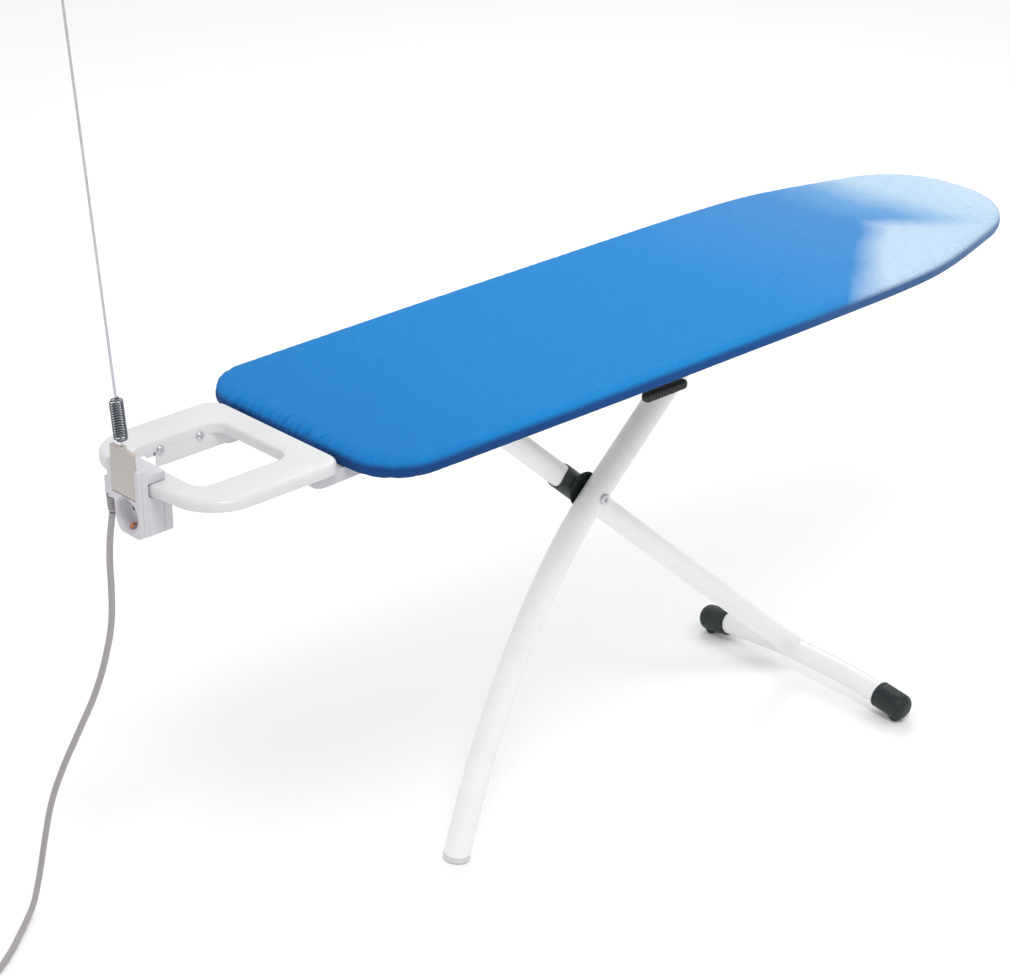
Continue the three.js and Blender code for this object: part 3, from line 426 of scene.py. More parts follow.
def slab(name, loops, low, high, bevel, material):
    """A plate that faces along X, with rounded edges. Loops are its outline and holes as (y, z)."""
    curve = bpy.data.curves.new(name, "CURVE")
    curve.dimensions = "2D"
    curve.fill_mode = "BOTH"
    curve.extrude = (high - low) / 2 - bevel
    curve.bevel_depth = bevel
    curve.bevel_resolution = 3
    curve.offset = -bevel
    for loop in loops:
        spline = curve.splines.new("POLY")
        spline.points.add(len(loop) - 1)
        spline.use_cyclic_u = True
        for point, (y, z) in zip(spline.points, loop):
            point.co = (y, z, 0, 1)
    holder = new_object(name, curve)
    bpy.context.view_layer.update()
    mesh = bpy.data.meshes.new_from_object(holder.evaluated_get(bpy.context.evaluated_depsgraph_get()))
    bpy.data.objects.remove(holder)
    middle = (high + low) / 2
    for vertex in mesh.vertices:
        vertex.co = at(vertex.co.z + middle, vertex.co.x, vertex.co.y)
    mesh.materials.clear()
    mesh.materials.append(material)
    return welded(new_object(name, mesh), 40, 1e-6)


def circle(cu, cv, radius, count=64):
    return [(cu + radius * math.cos(a), cv + radius * math.sin(a)) for a in spin(count)]


def rounded(points, radius, steps=6):
    """The outline with each corner turned into an arc of about that radius."""
    made = []
    count = len(points)
    for i, corner in enumerate(points):
        here = Vector(corner)
        before = Vector(points[i - 1]) - here
        after = Vector(points[(i + 1) % count]) - here
        reach = min(radius, before.length * 0.45, after.length * 0.45)
        start = here + before.normalized() * reach
        end = here + after.normalized() * reach
        for s in range(steps + 1):
            t = s / steps
            made.append(tuple(start * (1 - t) ** 2 + here * (2 * t * (1 - t)) + end * t * t))
    return made


def bezier(p0, p1, p2, p3, count):
    made = []
    for i in range(1, count + 1):
        t = i / count
        a, b, c, d = (1 - t) ** 3, 3 * t * (1 - t) ** 2, 3 * t * t * (1 - t), t ** 3
        made.append(tuple(a * u + b * v + c * w + d * q for u, v, w, q in zip(p0, p1, p2, p3)))
    return made


def resampled(points, step):
    """Even steps along a line of points."""
    lengths = [0.0]
    for a, b in zip(points, points[1:]):
        lengths.append(lengths[-1] + math.dist(a, b))
    count = max(1, round(lengths[-1] / step))
    made = []
    k = 0
    for i in range(count + 1):
        target = lengths[-1] * i / count
        while k < len(points) - 2 and lengths[k + 1] < target:
            k += 1
        t = (target - lengths[k]) / max(lengths[k + 1] - lengths[k], 1e-9)
        made.append(tuple(a + (b - a) * t for a, b in zip(points[k], points[k + 1])))
    return made


def tube(name, centres, section, material, side=(0, 1, 0), wall=0.0):
    """A swept section. section(i, angle) gives the reach along the side vector and along the normal."""
    side = Vector(side)
    rings = []
    inner = []
    for i, centre in enumerate(centres):
        along = (centres[min(i + 1, len(centres) - 1)] - centres[max(i - 1, 0)]).normalized()
        normal = along.cross(side).normalized()
        across = normal.cross(along)
        reaches = [section(i, angle) for angle in spin(40)]
        outward = [across * a + normal * b for a, b in reaches]
        rings.append([centre + out for out in outward])
        inner.append([centre + out * (1 - wall / max(out.length, 1e-9)) for out in outward])
    if wall:
        return loft(name, rings + inner[::-1], material, looped=True)
    return loft(name, rings, material, capped=True)


def oval(half_across, half_along):
    return lambda i, angle: (half_across * MM * math.cos(angle), half_along * MM * math.sin(angle))


def lathe(name, profile, start, axis, material, count=48):
    """A turned piece: profile is (distance along the axis, radius)."""
    axis = Vector(axis).normalized()
    side = axis.orthogonal().normalized()
    other = axis.cross(side)
    rings = []
    for distance, radius in profile:
        centre = start + axis * distance * MM
        reach = max(radius, 0.001) * MM
        rings.append([centre + (side * math.cos(a) + other * math.sin(a)) * reach for a in spin(count)])
    return shade(loft(name, rings, material, capped=True), 32)


def repeated(count, start, pitch, radius, grow, shape):
    """Part of a turned profile: the shape, a few (distance, radius) steps, again and again."""
    places = [(start + pitch * i, radius + grow * i) for i in range(count)]
    return [(distance + d, base + r) for distance, base in places for d, r in shape]


def mirrored(half_profile, length):
    return half_profile + [(length - d, r) for d, r in reversed(half_profile)]


def turned_ring(name, profile, start, along, side, material, count):
    """A hollow turned piece: a closed profile of (distance, radius) carried round a line along X or Y."""
    rings = []
    for angle in spin(count):
        out = Vector(side) * math.cos(angle) + Vector((0, 0, math.sin(angle)))
        rings.append([start + Vector(along) * (d * MM) + out * r * MM for d, r in profile])
    return loft(name, rings, material, looped=True)


# ---- the cover, its pad and the ironing surface ----
LENGTH = 1252.0                     # of the board
CORNER_Y, CORNER = 114.0, 72.0      # where the rounded corners of the head start, and their radius
CROSS = 96                          # steps across the board
STEP = 4.5                          # along its outline
TOP = COVER_HIGH.z / MM


def half_outline():
    """From the middle of the head edge to the tip of the nose, as (points on the head edge, the rest)."""
    head = [(0.0, CORNER_Y * i / (CROSS / 2)) for i in range(CROSS // 2 + 1)]
    turn = [math.pi - math.pi / 2 * i / 24 for i in range(25)]
    rest = [(CORNER + CORNER * math.cos(a), CORNER_Y + CORNER * math.sin(a)) for a in turn]
    rest += bezier((72, 186), (300, 190), (450, 190), (640, 190), 60)
    rest += bezier((640, 190), (780, 190), (895, 190), (965, 183), 40)
    rest += bezier((965, 183), (1020, 177), (1080, 158), (1150, 137), 30)
    rest += bezier((1150, 137), (1209, 119), (LENGTH, 78), (LENGTH, 0), 30)
    return head, resampled(rest, STEP)


HEAD, FLANK = half_outline()


def outline():
    """The whole outline, from the middle of the head edge by +Y, with its normals and lengths along it."""
    half = HEAD + FLANK[1:]
    points = half + [(x, -y) for x, y in half[-2:0:-1]]
    normals = []
    along = [0.0]
    for i, point in enumerate(points):
        before, after = points[i - 1], points[(i + 1) % len(points)]
        normals.append(Vector((before[1] - after[1], after[0] - before[0])).normalized())
        if i:
            along.append(along[-1] + math.dist(points[i - 1], point))
    return points, normals, along


OUTLINE, NORMALS, ALONG = outline()


def ring_at(inset, z, lift=None):
    """The outline moved in by inset. lift(i) may add (outward, upward) to each point."""
    ring = []
    for i, (point, normal) in enumerate(zip(OUTLINE, NORMALS)):
        out, up = lift(i) if lift else (0.0, 0.0)
        reach = out - inset
        ring.append(at(point[0] + normal.x * reach, point[1] + normal.y * reach, z + up))
    return ring


def gather(i, level):
    """How the elastic hem puckers the cloth: (outward, upward). level is 0 on top and 1 at the hem."""
    x, y = OUTLINE[i]
    s = ALONG[i]
    head = smooth((70 - x) / 60)
    corner = smooth((150 - x) / 150) * smooth((abs(y) - 60) / 60)
    nose = smooth((x - 1060) / 120)
    strength = 1.0 + 2.6 * head + 1.6 * corner + 1.2 * nose
    pitch = 19.0 - head + 3.0 * nose
    phase = s / pitch + 1.6 * wobble(s / 45.0, 3.1) + 0.5 * wobble(s / 17.0, 8.2)
    fold = (0.5 + 0.5 * math.cos(2 * math.pi * phase)) ** 1.6
    crease = (0.5 - 0.5 * math.cos(2 * math.pi * phase)) ** (2.5 + 2.0 * head)
    uneven = 0.3 + 1.5 * abs(wobble(s / 43.0, 5.7))
    reach = smooth((level - 0.25 + 0.3 * head) / 0.75)
    edge = smooth((level + 0.05 * head * min(level * 50, 1)) / 0.3)
    slack = 1.2 * wobble(s / 110.0, 1.3) * level
    out = strength * uneven * (fold - 0.45) * reach * 0.6 - 0.5 * reach + slack * 0.3
    up = strength * uneven * (fold - 0.3) * reach * level * 0.6 + slack * 0.5
    deep = (1.25 * head + 0.2 * nose + 0.12) * crease * min(uneven * 1.4 + 0.3 * head, 1.25) * edge
    deep *= 1 - 0.3 * corner
    held = 1 - smooth((level - 0.12) / 0.22)
    return out - (0.5 + 1.8 * held) * deep, up - (1.2 + 4.4 * held) * deep * (1 - 0.6 * reach)


def cover_height(x, y):
    """Top of the padded cloth, all in metres: flat in use, a little uneven where it bridges the foam."""
    return (TOP + 0.45 * wobble(x * 9, y * 11) + 0.25 * wobble(x * 31, y * 27, 4.0) + 0.3) * MM


def across_faces(vertices):
    """Fills the first ring of the cover with lines across the board, and returns their faces."""
    half = len(HEAD) - 1
    count = len(OUTLINE)
    last = len(FLANK) - 1
    lines = [[(half - k) % count for k in range(2 * half + 1)]]
    for j in range(1, last):
        upper, lower = half + j, count - half - j
        a, b = vertices[upper], vertices[lower]
        lines.append([upper, *range(len(vertices), len(vertices) + CROSS - 1), lower])
        for k in range(1, CROSS):
            point = a.lerp(b, k / CROSS)
            point.z = cover_height(point.x, point.y)
            vertices.append(point)
    faces = []
    for line, following in zip(lines, lines[1:]):
        faces += [(line[k], line[k + 1], following[k + 1], following[k]) for k in range(CROSS)]
    return faces + [(lines[-1][k], lines[-1][k + 1], half + last) for k in range(CROSS)]


def add_cover():
    # (inset, depth under the top, level), from the top over the edge to the turned-in hem
    section = [(25, 0, 0.0), (20, 0, 0.0), (15, 0.1, 0.02), (11, 0.5, 0.05), (8, 1.1, 0.1), (5.6, 2.1, 0.15)]
    section += [(3.7, 3.6, 0.22), (2.2, 5.6, 0.3), (1.1, 8.2, 0.4), (0.5, 11, 0.5), (0.3, 14, 0.65)]
    section += [(0.4, 17, 0.8), (0.7, 19.8, 0.92), (1.5, 22, 1.0), (3.0, 23.2, 1.0), (5.5, 23.4, 1.0)]
    section += [(9, 23.0, 0.95), (13, 22.6, 0.9), (17, 22.4, 0.85), (19.5, 22.9, 0.85), (21.6, 23.5, 0.9)]
    section += [(23.6, 23.2, 0.9), (24.8, 21.6, 0.9), (24.2, 20.0, 0.9), (22.2, 19.4, 0.9)]
    section += [(20.0, 20.0, 0.9), (18.4, 21.2, 0.88)]
    vertices = []
    for inset, depth, level in section:
        vertices += ring_at(inset, TOP - depth, lambda i: gather(i, level))
    for point in vertices[:len(OUTLINE)]:
        point.z = cover_height(point.x, point.y)
    faces = skin(len(section), len(OUTLINE)) + across_faces(vertices)
    cover = shade(add_mesh("cover_cloth", vertices, faces, CLOTH), 180)
    put(cover, "board", "cover_fabric", "cover")


def add_pad():
    low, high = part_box("foam_pad")
    top, bottom = high.z / MM, low.z / MM
    profile = [(20, top), (16, top - 1.4), (13.5, top - 3), (12.5, top - 5), (12, bottom + 1), (13, bottom)]
    pad = loft("foam_pad_soft", [ring_at(inset, z) for inset, z in profile], foam(), capped=True)
    put(pad, "board", "pad_foam", "foam_pad")


def inside_board(x, y, inset):
    """True where a point of the plane lies inside the outline moved in by inset."""
    if x < inset or x > LENGTH - inset:
        return False
    reach = 0.0
    for (xa, ya), (xb, yb) in zip(HEAD[-1:] + FLANK, FLANK):
        if xa <= x <= xb and xb > xa:
            reach = max(reach, ya + (yb - ya) * (x - xa) / (xb - xa))
    return abs(y) < reach - inset * 1.02


def add_expanded_metal():
    """Diamond lattice of slit and stretched sheet under the pad."""
    low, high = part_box("mesh_plate")
    long_way, short_way, strand, margin = 26.0, 11.0, 0.85, 5
    bar = ((0, 1, 5, 4), (2, 6, 7, 3), (0, 4, 6, 2), (1, 3, 7, 5), (0, 2, 3, 1), (4, 5, 7, 6))
    vertices = []
    faces = []
    columns = int(LENGTH / long_way) + 1
    rows = int(380 / short_way) + 2
    for c in range(columns * 2):
        for r in range(-rows, rows + 1):
            x0, y0 = c * long_way / 2, (r + (c % 2) / 2) * short_way
            for turn in (1, -1):
                x1, y1 = x0 + long_way / 2, y0 + turn * short_way / 2
                if not (inside_board(x0, y0, margin) and inside_board(x1, y1, margin)):
                    continue
                side = Vector((-(y1 - y0), x1 - x0)).normalized() * strand
                faces += [tuple(len(vertices) + k for k in face) for face in bar]
                for x, y in ((x0, y0), (x1, y1)):
                    for s in (1, -1):
                        place = at(x + s * side.x, y + s * side.y, 0)
                        vertices += [(place.x, place.y, low.z), (place.x, place.y, high.z)]
    lattice = shade(add_mesh("expanded_metal", vertices, faces, ZINC), 20)
    put(lattice, "board", "galvanised", "mesh_plate")


def add_rim():
    """Rolled tube edge that the expanded metal is welded to."""
    low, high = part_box("board_rim")
    middle, radius = (low.z + high.z) / 2, (high.z - low.z) / 2
    rings = []
    for angle in spin(16):
        ring = ring_at(9 - 5.9 * math.cos(angle), 0)
        for point in ring:
            point.z = middle + radius * math.sin(angle) * 0.98
        rings.append(ring)
    put(loft("rolled_rim", rings, POWDER, looped=True), "board", "white_paint", "board_rim")


def cord_slack(i):
    return 0.7 * wobble(ALONG[i] / 30.0, 9.4), 0.3 * wobble(ALONG[i] / 21.0, 2.2)


def add_drawcord():
    low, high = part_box("cover_drawcord")
    middle = (low.z + high.z) / 2 / MM
    radius = 1.25
    rings = []
    for angle in spin(10):
        height = middle - 1.0 + radius * math.sin(angle)
        rings.append(ring_at(26.2 - radius * math.cos(angle), height, cord_slack))
    cord = loft("elastic_drawcord", rings, woven_cord(), looped=True)
    put(cord, "board", "elastic", "cover_drawcord")


# ---- legs ----
LEG_ANGLE = math.radians(42)
UX, UZ = math.cos(LEG_ANGLE), math.sin(LEG_ANGLE)
PIVOT = (491.6, 454.0)
HINGE_Z = 655.0
ARM = (HINGE_Z - PIVOT[1]) / UZ
LEG_Y = 21.5
LEG_SECTION = oval(19, 16)
WALL = 1.5 * MM
FOOT_A = 242                        # where the bowed leg stands
FOOT_A_SLOPE = math.radians(74)
FOOT_A_CUT = 8.05 * MM              # its cut end, above the floor
FOOT_B = 954                        # where the foot bar lies
CAP_FROM, CAP_TO = 148, 200


def leg_a_line():
    """The same line as the CAD tube: straight through the crossing, then bowed to its single foot."""
    fx, fz = math.cos(FOOT_A_SLOPE), math.sin(FOOT_A_SLOPE)
    top = (PIVOT[0] + UX * (ARM + 12), PIVOT[1] + UZ * (ARM + 12))
    foot = (FOOT_A - fx * 12, -fz * 12)
    below = (PIVOT[0] - 150 * UX, PIVOT[1] - 150 * UZ)
    bow = bezier(PIVOT, below, (foot[0] + 182 * fx, foot[1] + 182 * fz), foot, 48)
    even = resampled([top, PIVOT] + bow, 14)
    return [point for point in even if point[1] > 22] + [(FOOT_A + (8.2 / fz) * fx, 8.2)]


def add_leg_a():
    centres = [at(x, -LEG_Y, z) for x, z in leg_a_line()]
    leg = tube("bowed_leg", centres, LEG_SECTION, POWDER, wall=WALL)
    for vertex in leg.data.vertices:
        if (vertex.co - centres[-1]).length < 0.026:
            vertex.co.x += (FOOT_A_CUT - vertex.co.z) / math.tan(FOOT_A_SLOPE)
            vertex.co.z = FOOT_A_CUT
    put(leg, "leg_a", "white_paint", "leg_a_tube")
    low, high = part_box("leg_a_foot_cap")
    middle = (low + high) / 2
    # (how far it stands out, height)
    profile = [(-2.2, 0), (-0.9, 0.25), (-0.2, 1.2), (0, 2.6), (0, 6.2), (-0.35, 7.1), (-1.2, 7.6), (-4.5, 7.6)]
    rings = []
    for grow, z in profile:
        x, y = (high.x - low.x) / 2 + grow * MM, (high.y - low.y) / 2 + grow * MM
        steps = [(x * math.cos(a), y * math.sin(a)) for a in spin(64)]
        rings.append([Vector((middle.x + u, middle.y + v, z * MM)) for u, v in steps])
    put(loft("flat_foot", rings, WHITE, capped=True), "leg_a", "rest_plastic", "leg_a_foot_cap")


def leg_b_point(t):
    return at(PIVOT[0] + UX * t, LEG_Y, PIVOT[1] - UZ * t)


def add_leg_b():
    reach = (FOOT_B - PIVOT[0]) / UX
    start, end = -(ARM + 12), reach - 8
    centres = [leg_b_point(start + (end - start) * i / 24) for i in range(25)]
    leg = tube("straight_leg", centres, LEG_SECTION, POWDER, wall=WALL)
    swell = (1.0, 1.09, 1.16)
    weld_at = [leg_b_point(t) for t in (reach - 21, reach - 15.5, reach - 9)]
    bead = tube("weld", weld_at, lambda i, a: tuple(v * swell[i] for v in LEG_SECTION(i, a)), POWDER)
    put(joined("straight_leg_welded", [leg, bead]), "leg_b", "white_paint", "leg_b_tube")


def bar_height(y):
    """The foot bar arches: 37 above the floor in the middle, 20.5 at its ends."""
    return 37.0 - (37.0 - 20.5) * (y / CAP_TO) ** 2


def add_foot_bar():
    centres = [at(FOOT_B, y, bar_height(y)) for y in [-188 + 376 * i / 48 for i in range(49)]]
    bar = tube("arched_foot_bar", centres, oval(16.5, 16.5), POWDER, side=(1, 0, 0), wall=WALL)
    put(bar, "leg_b", "white_paint", "foot_bar")
    add_foot_cap("near", -1)
    add_foot_cap("far", 1)


def add_foot_cap(name, side):
    """Domed sleeve with a moulded lip and a flat pad under it."""
    start = at(FOOT_B, side * CAP_FROM, bar_height(CAP_FROM))
    end = at(FOOT_B, side * CAP_TO, bar_height(CAP_TO))
    axis = (end - start).normalized()
    length = (end - start).length / MM
    down = (Vector((0, 0, -1)) - axis * axis.dot(Vector((0, 0, -1)))).normalized()
    across = axis.cross(down)
    radius = 19.5
    profile = [(0, 17.2), (0, 18.2), (0.5, 19.0), (1.6, radius), (6.0, radius), (6.8, 19.1), (7.6, radius)]
    profile += [(12.0 + 4 * i, radius) for i in range(7)]
    for a in (0.2, 0.45, 0.7, 0.95, 1.2, 1.4):
        profile.append((length - 13 * (1 - math.sin(a)), radius * math.cos(a) ** 0.72))
    profile.append((length, 1.2))
    rings = []
    for distance, radius in profile:
        centre = start + axis * distance * MM
        drop = centre.z / max(-down.z, 0.1)
        pad = smooth((distance - 24) / 12.0) * smooth((length - 5 - distance) / 7.0)
        ring = []
        for angle in spin(72):
            reach = radius * MM
            if math.cos(angle) > 0.05 and pad > 0:
                sideways = 9.0 * MM / max(abs(math.sin(angle)), 1e-6)
                foot = min(sideways, drop / math.cos(angle))
                reach = max(reach, reach + (foot - reach) * pad)
            point = centre + (down * math.cos(angle) + across * math.sin(angle)) * reach
            point.z = max(point.z, 0.0)
            ring.append(point)
        rings.append(ring)
    cap = shade(loft(f"foot_sleeve_{name}", rings, DARK, capped=True), 55)
    put(cap, "leg_b", "dark_plastic", f"foot_cap_{name}")


def add_crossing():
    """Moulded saddle round the straight leg, the flange between the legs, and the ring-headed rivet."""
    pivot = at(PIVOT[0], LEG_Y, PIVOT[1])
    up = Vector((-UX, 0, UZ))
    rise = Vector((UZ, 0, UX))
    grow = 1 + 2.1 / 17.5       # the sleeve is 2.1 thick on the tube's mean radius
    foot = -20                  # its lower edge, along the leg from the rivet
    columns = []
    for angle in spin(72):
        a, b = math.cos(angle), math.sin(angle)
        out = Vector((0, 1, 0)) * a * 19 * MM + rise * b * 16 * MM
        crown = 44 - 13 * b * b
        stops = [(foot, 1.02), (foot, grow - 0.02), (foot + 1, grow), (crown - 2.2, grow)]
        stops += [(crown - 0.6, grow - 0.03), (crown, grow - 0.07), (crown, 1.02), (crown, 1.012), (foot, 1.012)]
        columns.append([pivot + up * t * MM + out * scale for t, scale in stops])
    sleeve = loft("saddle_sleeve", columns, DARK, looped=True)
    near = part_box("pivot_saddle")[0].y
    face = [(0.0, 10.0), (0.0, 24.2), (0.25, 24.8), (0.9, 25.0), (1.6, 24.6), (2.0, 23.8), (2.0, 10.0)]
    flange = lathe("saddle_flange", face, Vector((pivot.x, near, pivot.z)), (0, 1, 0), DARK)
    put(joined("crossing_saddle", [sleeve, flange]), "leg_b", "dark_plastic", "pivot_saddle")
    low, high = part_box("pivot_rivet")
    length = (high.y - low.y) / MM
    head = [(2.3, 2.6), (0.9, 2.9), (0.25, 3.6), (0.0, 4.6), (0.15, 5.9), (0.7, 6.9), (1.5, 7.5), (2.35, 7.6)]
    head += [(2.6, 7.0), (2.6, 4.0)]
    start = Vector((pivot.x, low.y, pivot.z))
    rivet = lathe("hollow_rivet", mirrored(head, length), start, (0, 1, 0), CHROME)
    put(rivet, "leg_b", "steel", "pivot_rivet")


# ---- iron rest ----
REST_TOP, REST_UNDER = 697, 693     # of its plate


def rest_outline(inset):
    """Outline of the rest seen from above, moved in by inset."""
    width, back, front = 123 - inset, -12 - inset, -212 + inset
    small, large = 26 - inset, 62 - inset

    def arc(cx, cy, radius, start):
        steps = [start + math.pi / 2 * i / 14 for i in range(15)]
        return [(cx + radius * math.cos(a), cy + radius * math.sin(a)) for a in steps]

    points = arc(back - small, width - small, small, 0)
    points += arc(front + large, width - large, large, math.pi / 2)
    rows = [(width - large) * (1 - 2 * i / 24) for i in range(1, 24)]
    points += [(front - 5 * (1 - (y / (width - large)) ** 2), y) for y in rows]
    points += arc(front + large, -(width - large), large, math.pi)
    points += arc(back - small, -(width - small), small, 1.5 * math.pi)
    return points


def rest_hole(grow):
    front, back, width, radius = -180 - grow, -50 + grow, 68 + grow, 18 + grow
    corners = ((back, width, 0), (front, width, 1), (front, -width, 2), (back, -width, 3))
    points = []
    for x, y, quarter in corners:
        cx = x - radius if x == back else x + radius
        cy = y - radius if y > 0 else y + radius
        steps = [math.pi / 2 * (quarter + i / 10) for i in range(11)]
        points += [(cx + radius * math.cos(a), cy + radius * math.sin(a)) for a in steps]
    return points


def rings_between(name, rows, outline_of):
    return loft(name, [[at(x, y, z) for x, y in outline_of(inset)] for inset, z in rows], WHITE)


def filled_between(name, outer, inner, z):
    """A flat face with one hole."""
    work = bmesh.new()
    for loop in (outer, inner):
        made = [work.verts.new(at(x, y, z)) for x, y in loop]
        for a, b in zip(made, made[1:] + made[:1]):
            work.edges.new((a, b))
    bmesh.ops.triangle_fill(work, edges=work.edges[:], use_beauty=True)
    return from_bmesh(work, name, WHITE)


def add_iron_rest():
    lip = [(0.25, 683.5), (0.9, 683), (2.1, 683), (2.8, 683.5), (3, 684.4), (3, 690.5), (3.4, 692.2)]
    lip.append((4.6, REST_UNDER))
    edge = [(6.5, 0), (4.6, 0.2), (3.0, 0.8), (1.6, 1.8), (0.6, 3.3), (0.1, 5.2), (0, 7)]
    edge = [(inset, REST_TOP - depth) for inset, depth in edge] + [(0, 684.4)] + lip
    hole = lip[::-1] + [(0, 684.4), (0, 693.2), (0.25, 694.8), (0.9, 696.0), (1.9, 696.8), (3.2, REST_TOP)]
    shell = [
        rings_between("rest_edge", edge, rest_outline),
        rings_between("rest_hole_edge", hole, rest_hole),
        filled_between("rest_top", rest_outline(6.5), rest_hole(3.2), REST_TOP),
        filled_between("rest_under", rest_outline(4.6), rest_hole(4.6), REST_UNDER),
    ]
    parts = [welded(joined("rest_shell", shell), 40, 2e-6)]
    for side in (-1, 1):
        a, b = sorted((side * 68.08, side * 70.92))
        parts.append(rounded_box("rest_wall", at(-140, a, 663), at(-18, b, 692.8), 1.2 * MM, WHITE))
        for x in (-166, -28):
            a, b = sorted((side * 80, side * 117.6))
            parts.append(rounded_box("rest_rib", at(x, a, 684), at(x + 1.6, b, 693.4), 0.5 * MM, WHITE))
    put(joined("iron_rest_moulding", parts), "board", "rest_plastic", "iron_rest")
    for name, side in (("near", -1), ("far", 1)):
        for number, x in ((1, -134), (2, -76)):
            add_rest_screw(f"{name}_{number}", side, x)


def add_rest_screw(name, side, x):
    """Pan head with a cross recess, and its shank."""
    face, z, head_height = side * 65.1, 684, 2.0
    low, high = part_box(f"rest_screw_{name}")
    length = (high.y - low.y) / MM - head_height
    pitch = 0.9
    shank = [(0, 2.0)] + repeated(int(length / pitch), 0, pitch, 0, 0, ((0.3, 1.6), (0.75, 2.0)))
    shank += [(length - 0.6, 1.7), (length, 1.1)]
    head = screw_head(x, z, face, side)
    thread = lathe("thread", shank, at(x, face + side * head_height, z), (0, side, 0), CHROME, 20)
    put(joined(f"cross_head_screw_{name}", [head, thread]), "board", "steel", f"rest_screw_{name}")


def screw_head(x, z, face, side):
    """Domed screw head that faces the middle of the rest, with a cross sunk in it."""
    # (radius, depth behind the face, how far the cross is sunk)
    profile = [(0.3, 0, 1.3), (0.7, 0, 1.3), (2.5, 0.12, 1.25), (2.9, 0.16, 0), (3.9, 0.5, 0)]
    profile += [(4.6, 1.05, 0), (5.1, 1.7, 0), (5.5, 2.4, 0), (5.4, 2.6, 0), (2.0, 2.6, 0)]
    rings = []
    for radius, depth, sunk in profile:
        ring = []
        for angle in spin(96):
            arm = min(abs(math.sin(2 * angle)) * radius * 0.5, 9.0)
            in_cross = 1.0 if radius < 0.75 else 1 - smooth((arm - 0.45) / 0.25)
            deep = depth + sunk * in_cross
            ring.append(at(x + radius * math.cos(angle), face + side * deep, z + radius * math.sin(angle)))
        rings.append(ring)
    return shade(loft("screw_head", rings, CHROME, capped=True), 42)


# ---- clamp-on socket unit ----
FRONT = -232
SOCKET_Y, SOCKET_Z = 1, 656
PIN_HOLE_Y = 9.5                    # from the middle of the socket


def unit_face(with_pocket):
    """Outline of the socket unit from the front, with the pocket for the guide plate cut from its top."""
    outline = [(-24, 637), (-22.2, 632.8), (-18, 631), (12, 631)]
    outline += bezier((12, 631), (20, 633), (24.5, 641), (25, 666), 10)
    outline += [(25.3, 668), (35, 668), (36, 669), (36, 714), (35.4, 715.4), (34, 716)]
    if with_pocket:
        outline += [(28.3, 716), (28.3, 677.7), (-16.3, 677.7), (-16.3, 716)]
    outline += [(-22, 716), (-23.4, 715.4), (-24, 714)]
    return outline


def add_socket_unit():
    hole = circle(SOCKET_Y, SOCKET_Z, 21.25)
    body = rounded([(-24, 634), (-21, 631.2), (17, 631.2), (23.5, 639), (24.8, 681.6), (-24, 681.6)], 4)
    parts = [
        slab("unit_front", [unit_face(True), hole], FRONT, FRONT + 5.4, 0.6, LILAC),
        slab("unit_back", [unit_face(False), hole], FRONT + 5.4, FRONT + 14, 0.6, LILAC),
        slab("unit_housing", [body, hole], FRONT + 13.4, FRONT + 34, 0.8, LILAC),
        slab("unit_rear", [body], FRONT + 34, FRONT + 46, 1.6, LILAC),
        rounded_box("unit_tab", at(FRONT + 13, -24, 697.35), at(FRONT + 38, 36, 709), 1.6 * MM, LILAC),
        rounded_box("unit_shoulder", at(FRONT + 2, 34, 668), at(FRONT + 13.5, 46, 690), 1.6 * MM, LILAC),
    ]
    put(joined("socket_unit_moulding", parts), "board", "lilac_plastic", "socket_body")


def add_socket_insert():
    wall = [(19.6, 18.0), (16.0, 18.0), (15.4, 18.5), (1.3, 19.5), (0.6, 19.8), (0.35, 20.3), (0.5, 20.9)]
    wall += [(1.2, 21.1), (19.6, 21.1)]
    start = at(FRONT, SOCKET_Y, SOCKET_Z)
    cup = shade(turned_ring("socket_wall", wall, start, (1, 0, 0), (0, 1, 0), LILAC, 72), 40)
    holes = [circle(SOCKET_Y + side * PIN_HOLE_Y, SOCKET_Z, 2.9, 32) for side in (-1, 1)]
    rim = circle(SOCKET_Y, SOCKET_Z, 18.4)
    parts = [cup, slab("socket_base", [rim] + holes, FRONT + 16, FRONT + 19.5, 0.4, LILAC)]
    contact = [(0, 0.1), (0, 2.75), (2.2, 2.75), (2.2, 0.1)]
    for side in (-1, 1):
        place = at(FRONT + 17.2, SOCKET_Y + side * PIN_HOLE_Y, SOCKET_Z)
        parts.append(lathe("contact", contact, place, (1, 0, 0), BLACK, 32))
    put(joined("socket_cup", parts), "board", "lilac_plastic", "socket_insert")


def add_guide_plate():
    """Flat beige slide with finger ribs down both sides and a small collar for the spring's foot."""
    edge = [(0, z) for z in range(679, 716, 6)]
    for z in [718.0 + 2.6 * i for i in range(6)]:
        edge += [(0.0, z), (0.9, z + 0.9), (0.0, z + 1.8)]
    outline = [(28 - notch, z) for notch, z in edge] + [(28, 735), (26, 737), (-14, 737), (-16, 735)]
    outline += [(-16 + notch, z) for notch, z in reversed(edge)]
    plate = slab("guide_slide", [outline], FRONT, FRONT + 5, 0.5, BEIGE)
    profile = [(0, 2.0), (0, 4.6), (0.5, 5.0), (1.6, 5.0), (2.1, 4.5), (2.1, 1.9)]
    collar = lathe("guide_collar", profile, at(FRONT + 2.5, 6, 736.6), (0, 0, 1), BEIGE)
    put(joined("guide_plate_moulding", [plate, collar]), "cable_guide", "beige_plastic", "guide_plate")


# ---- cable guide: coil spring and rod ----
LEAN = Vector((-0.045, 0.045, 1)).normalized()
GUIDE_BASE = at(FRONT + 2.5, 6, 737)


def up_guide(distance):
    return GUIDE_BASE + LEAN * distance * MM


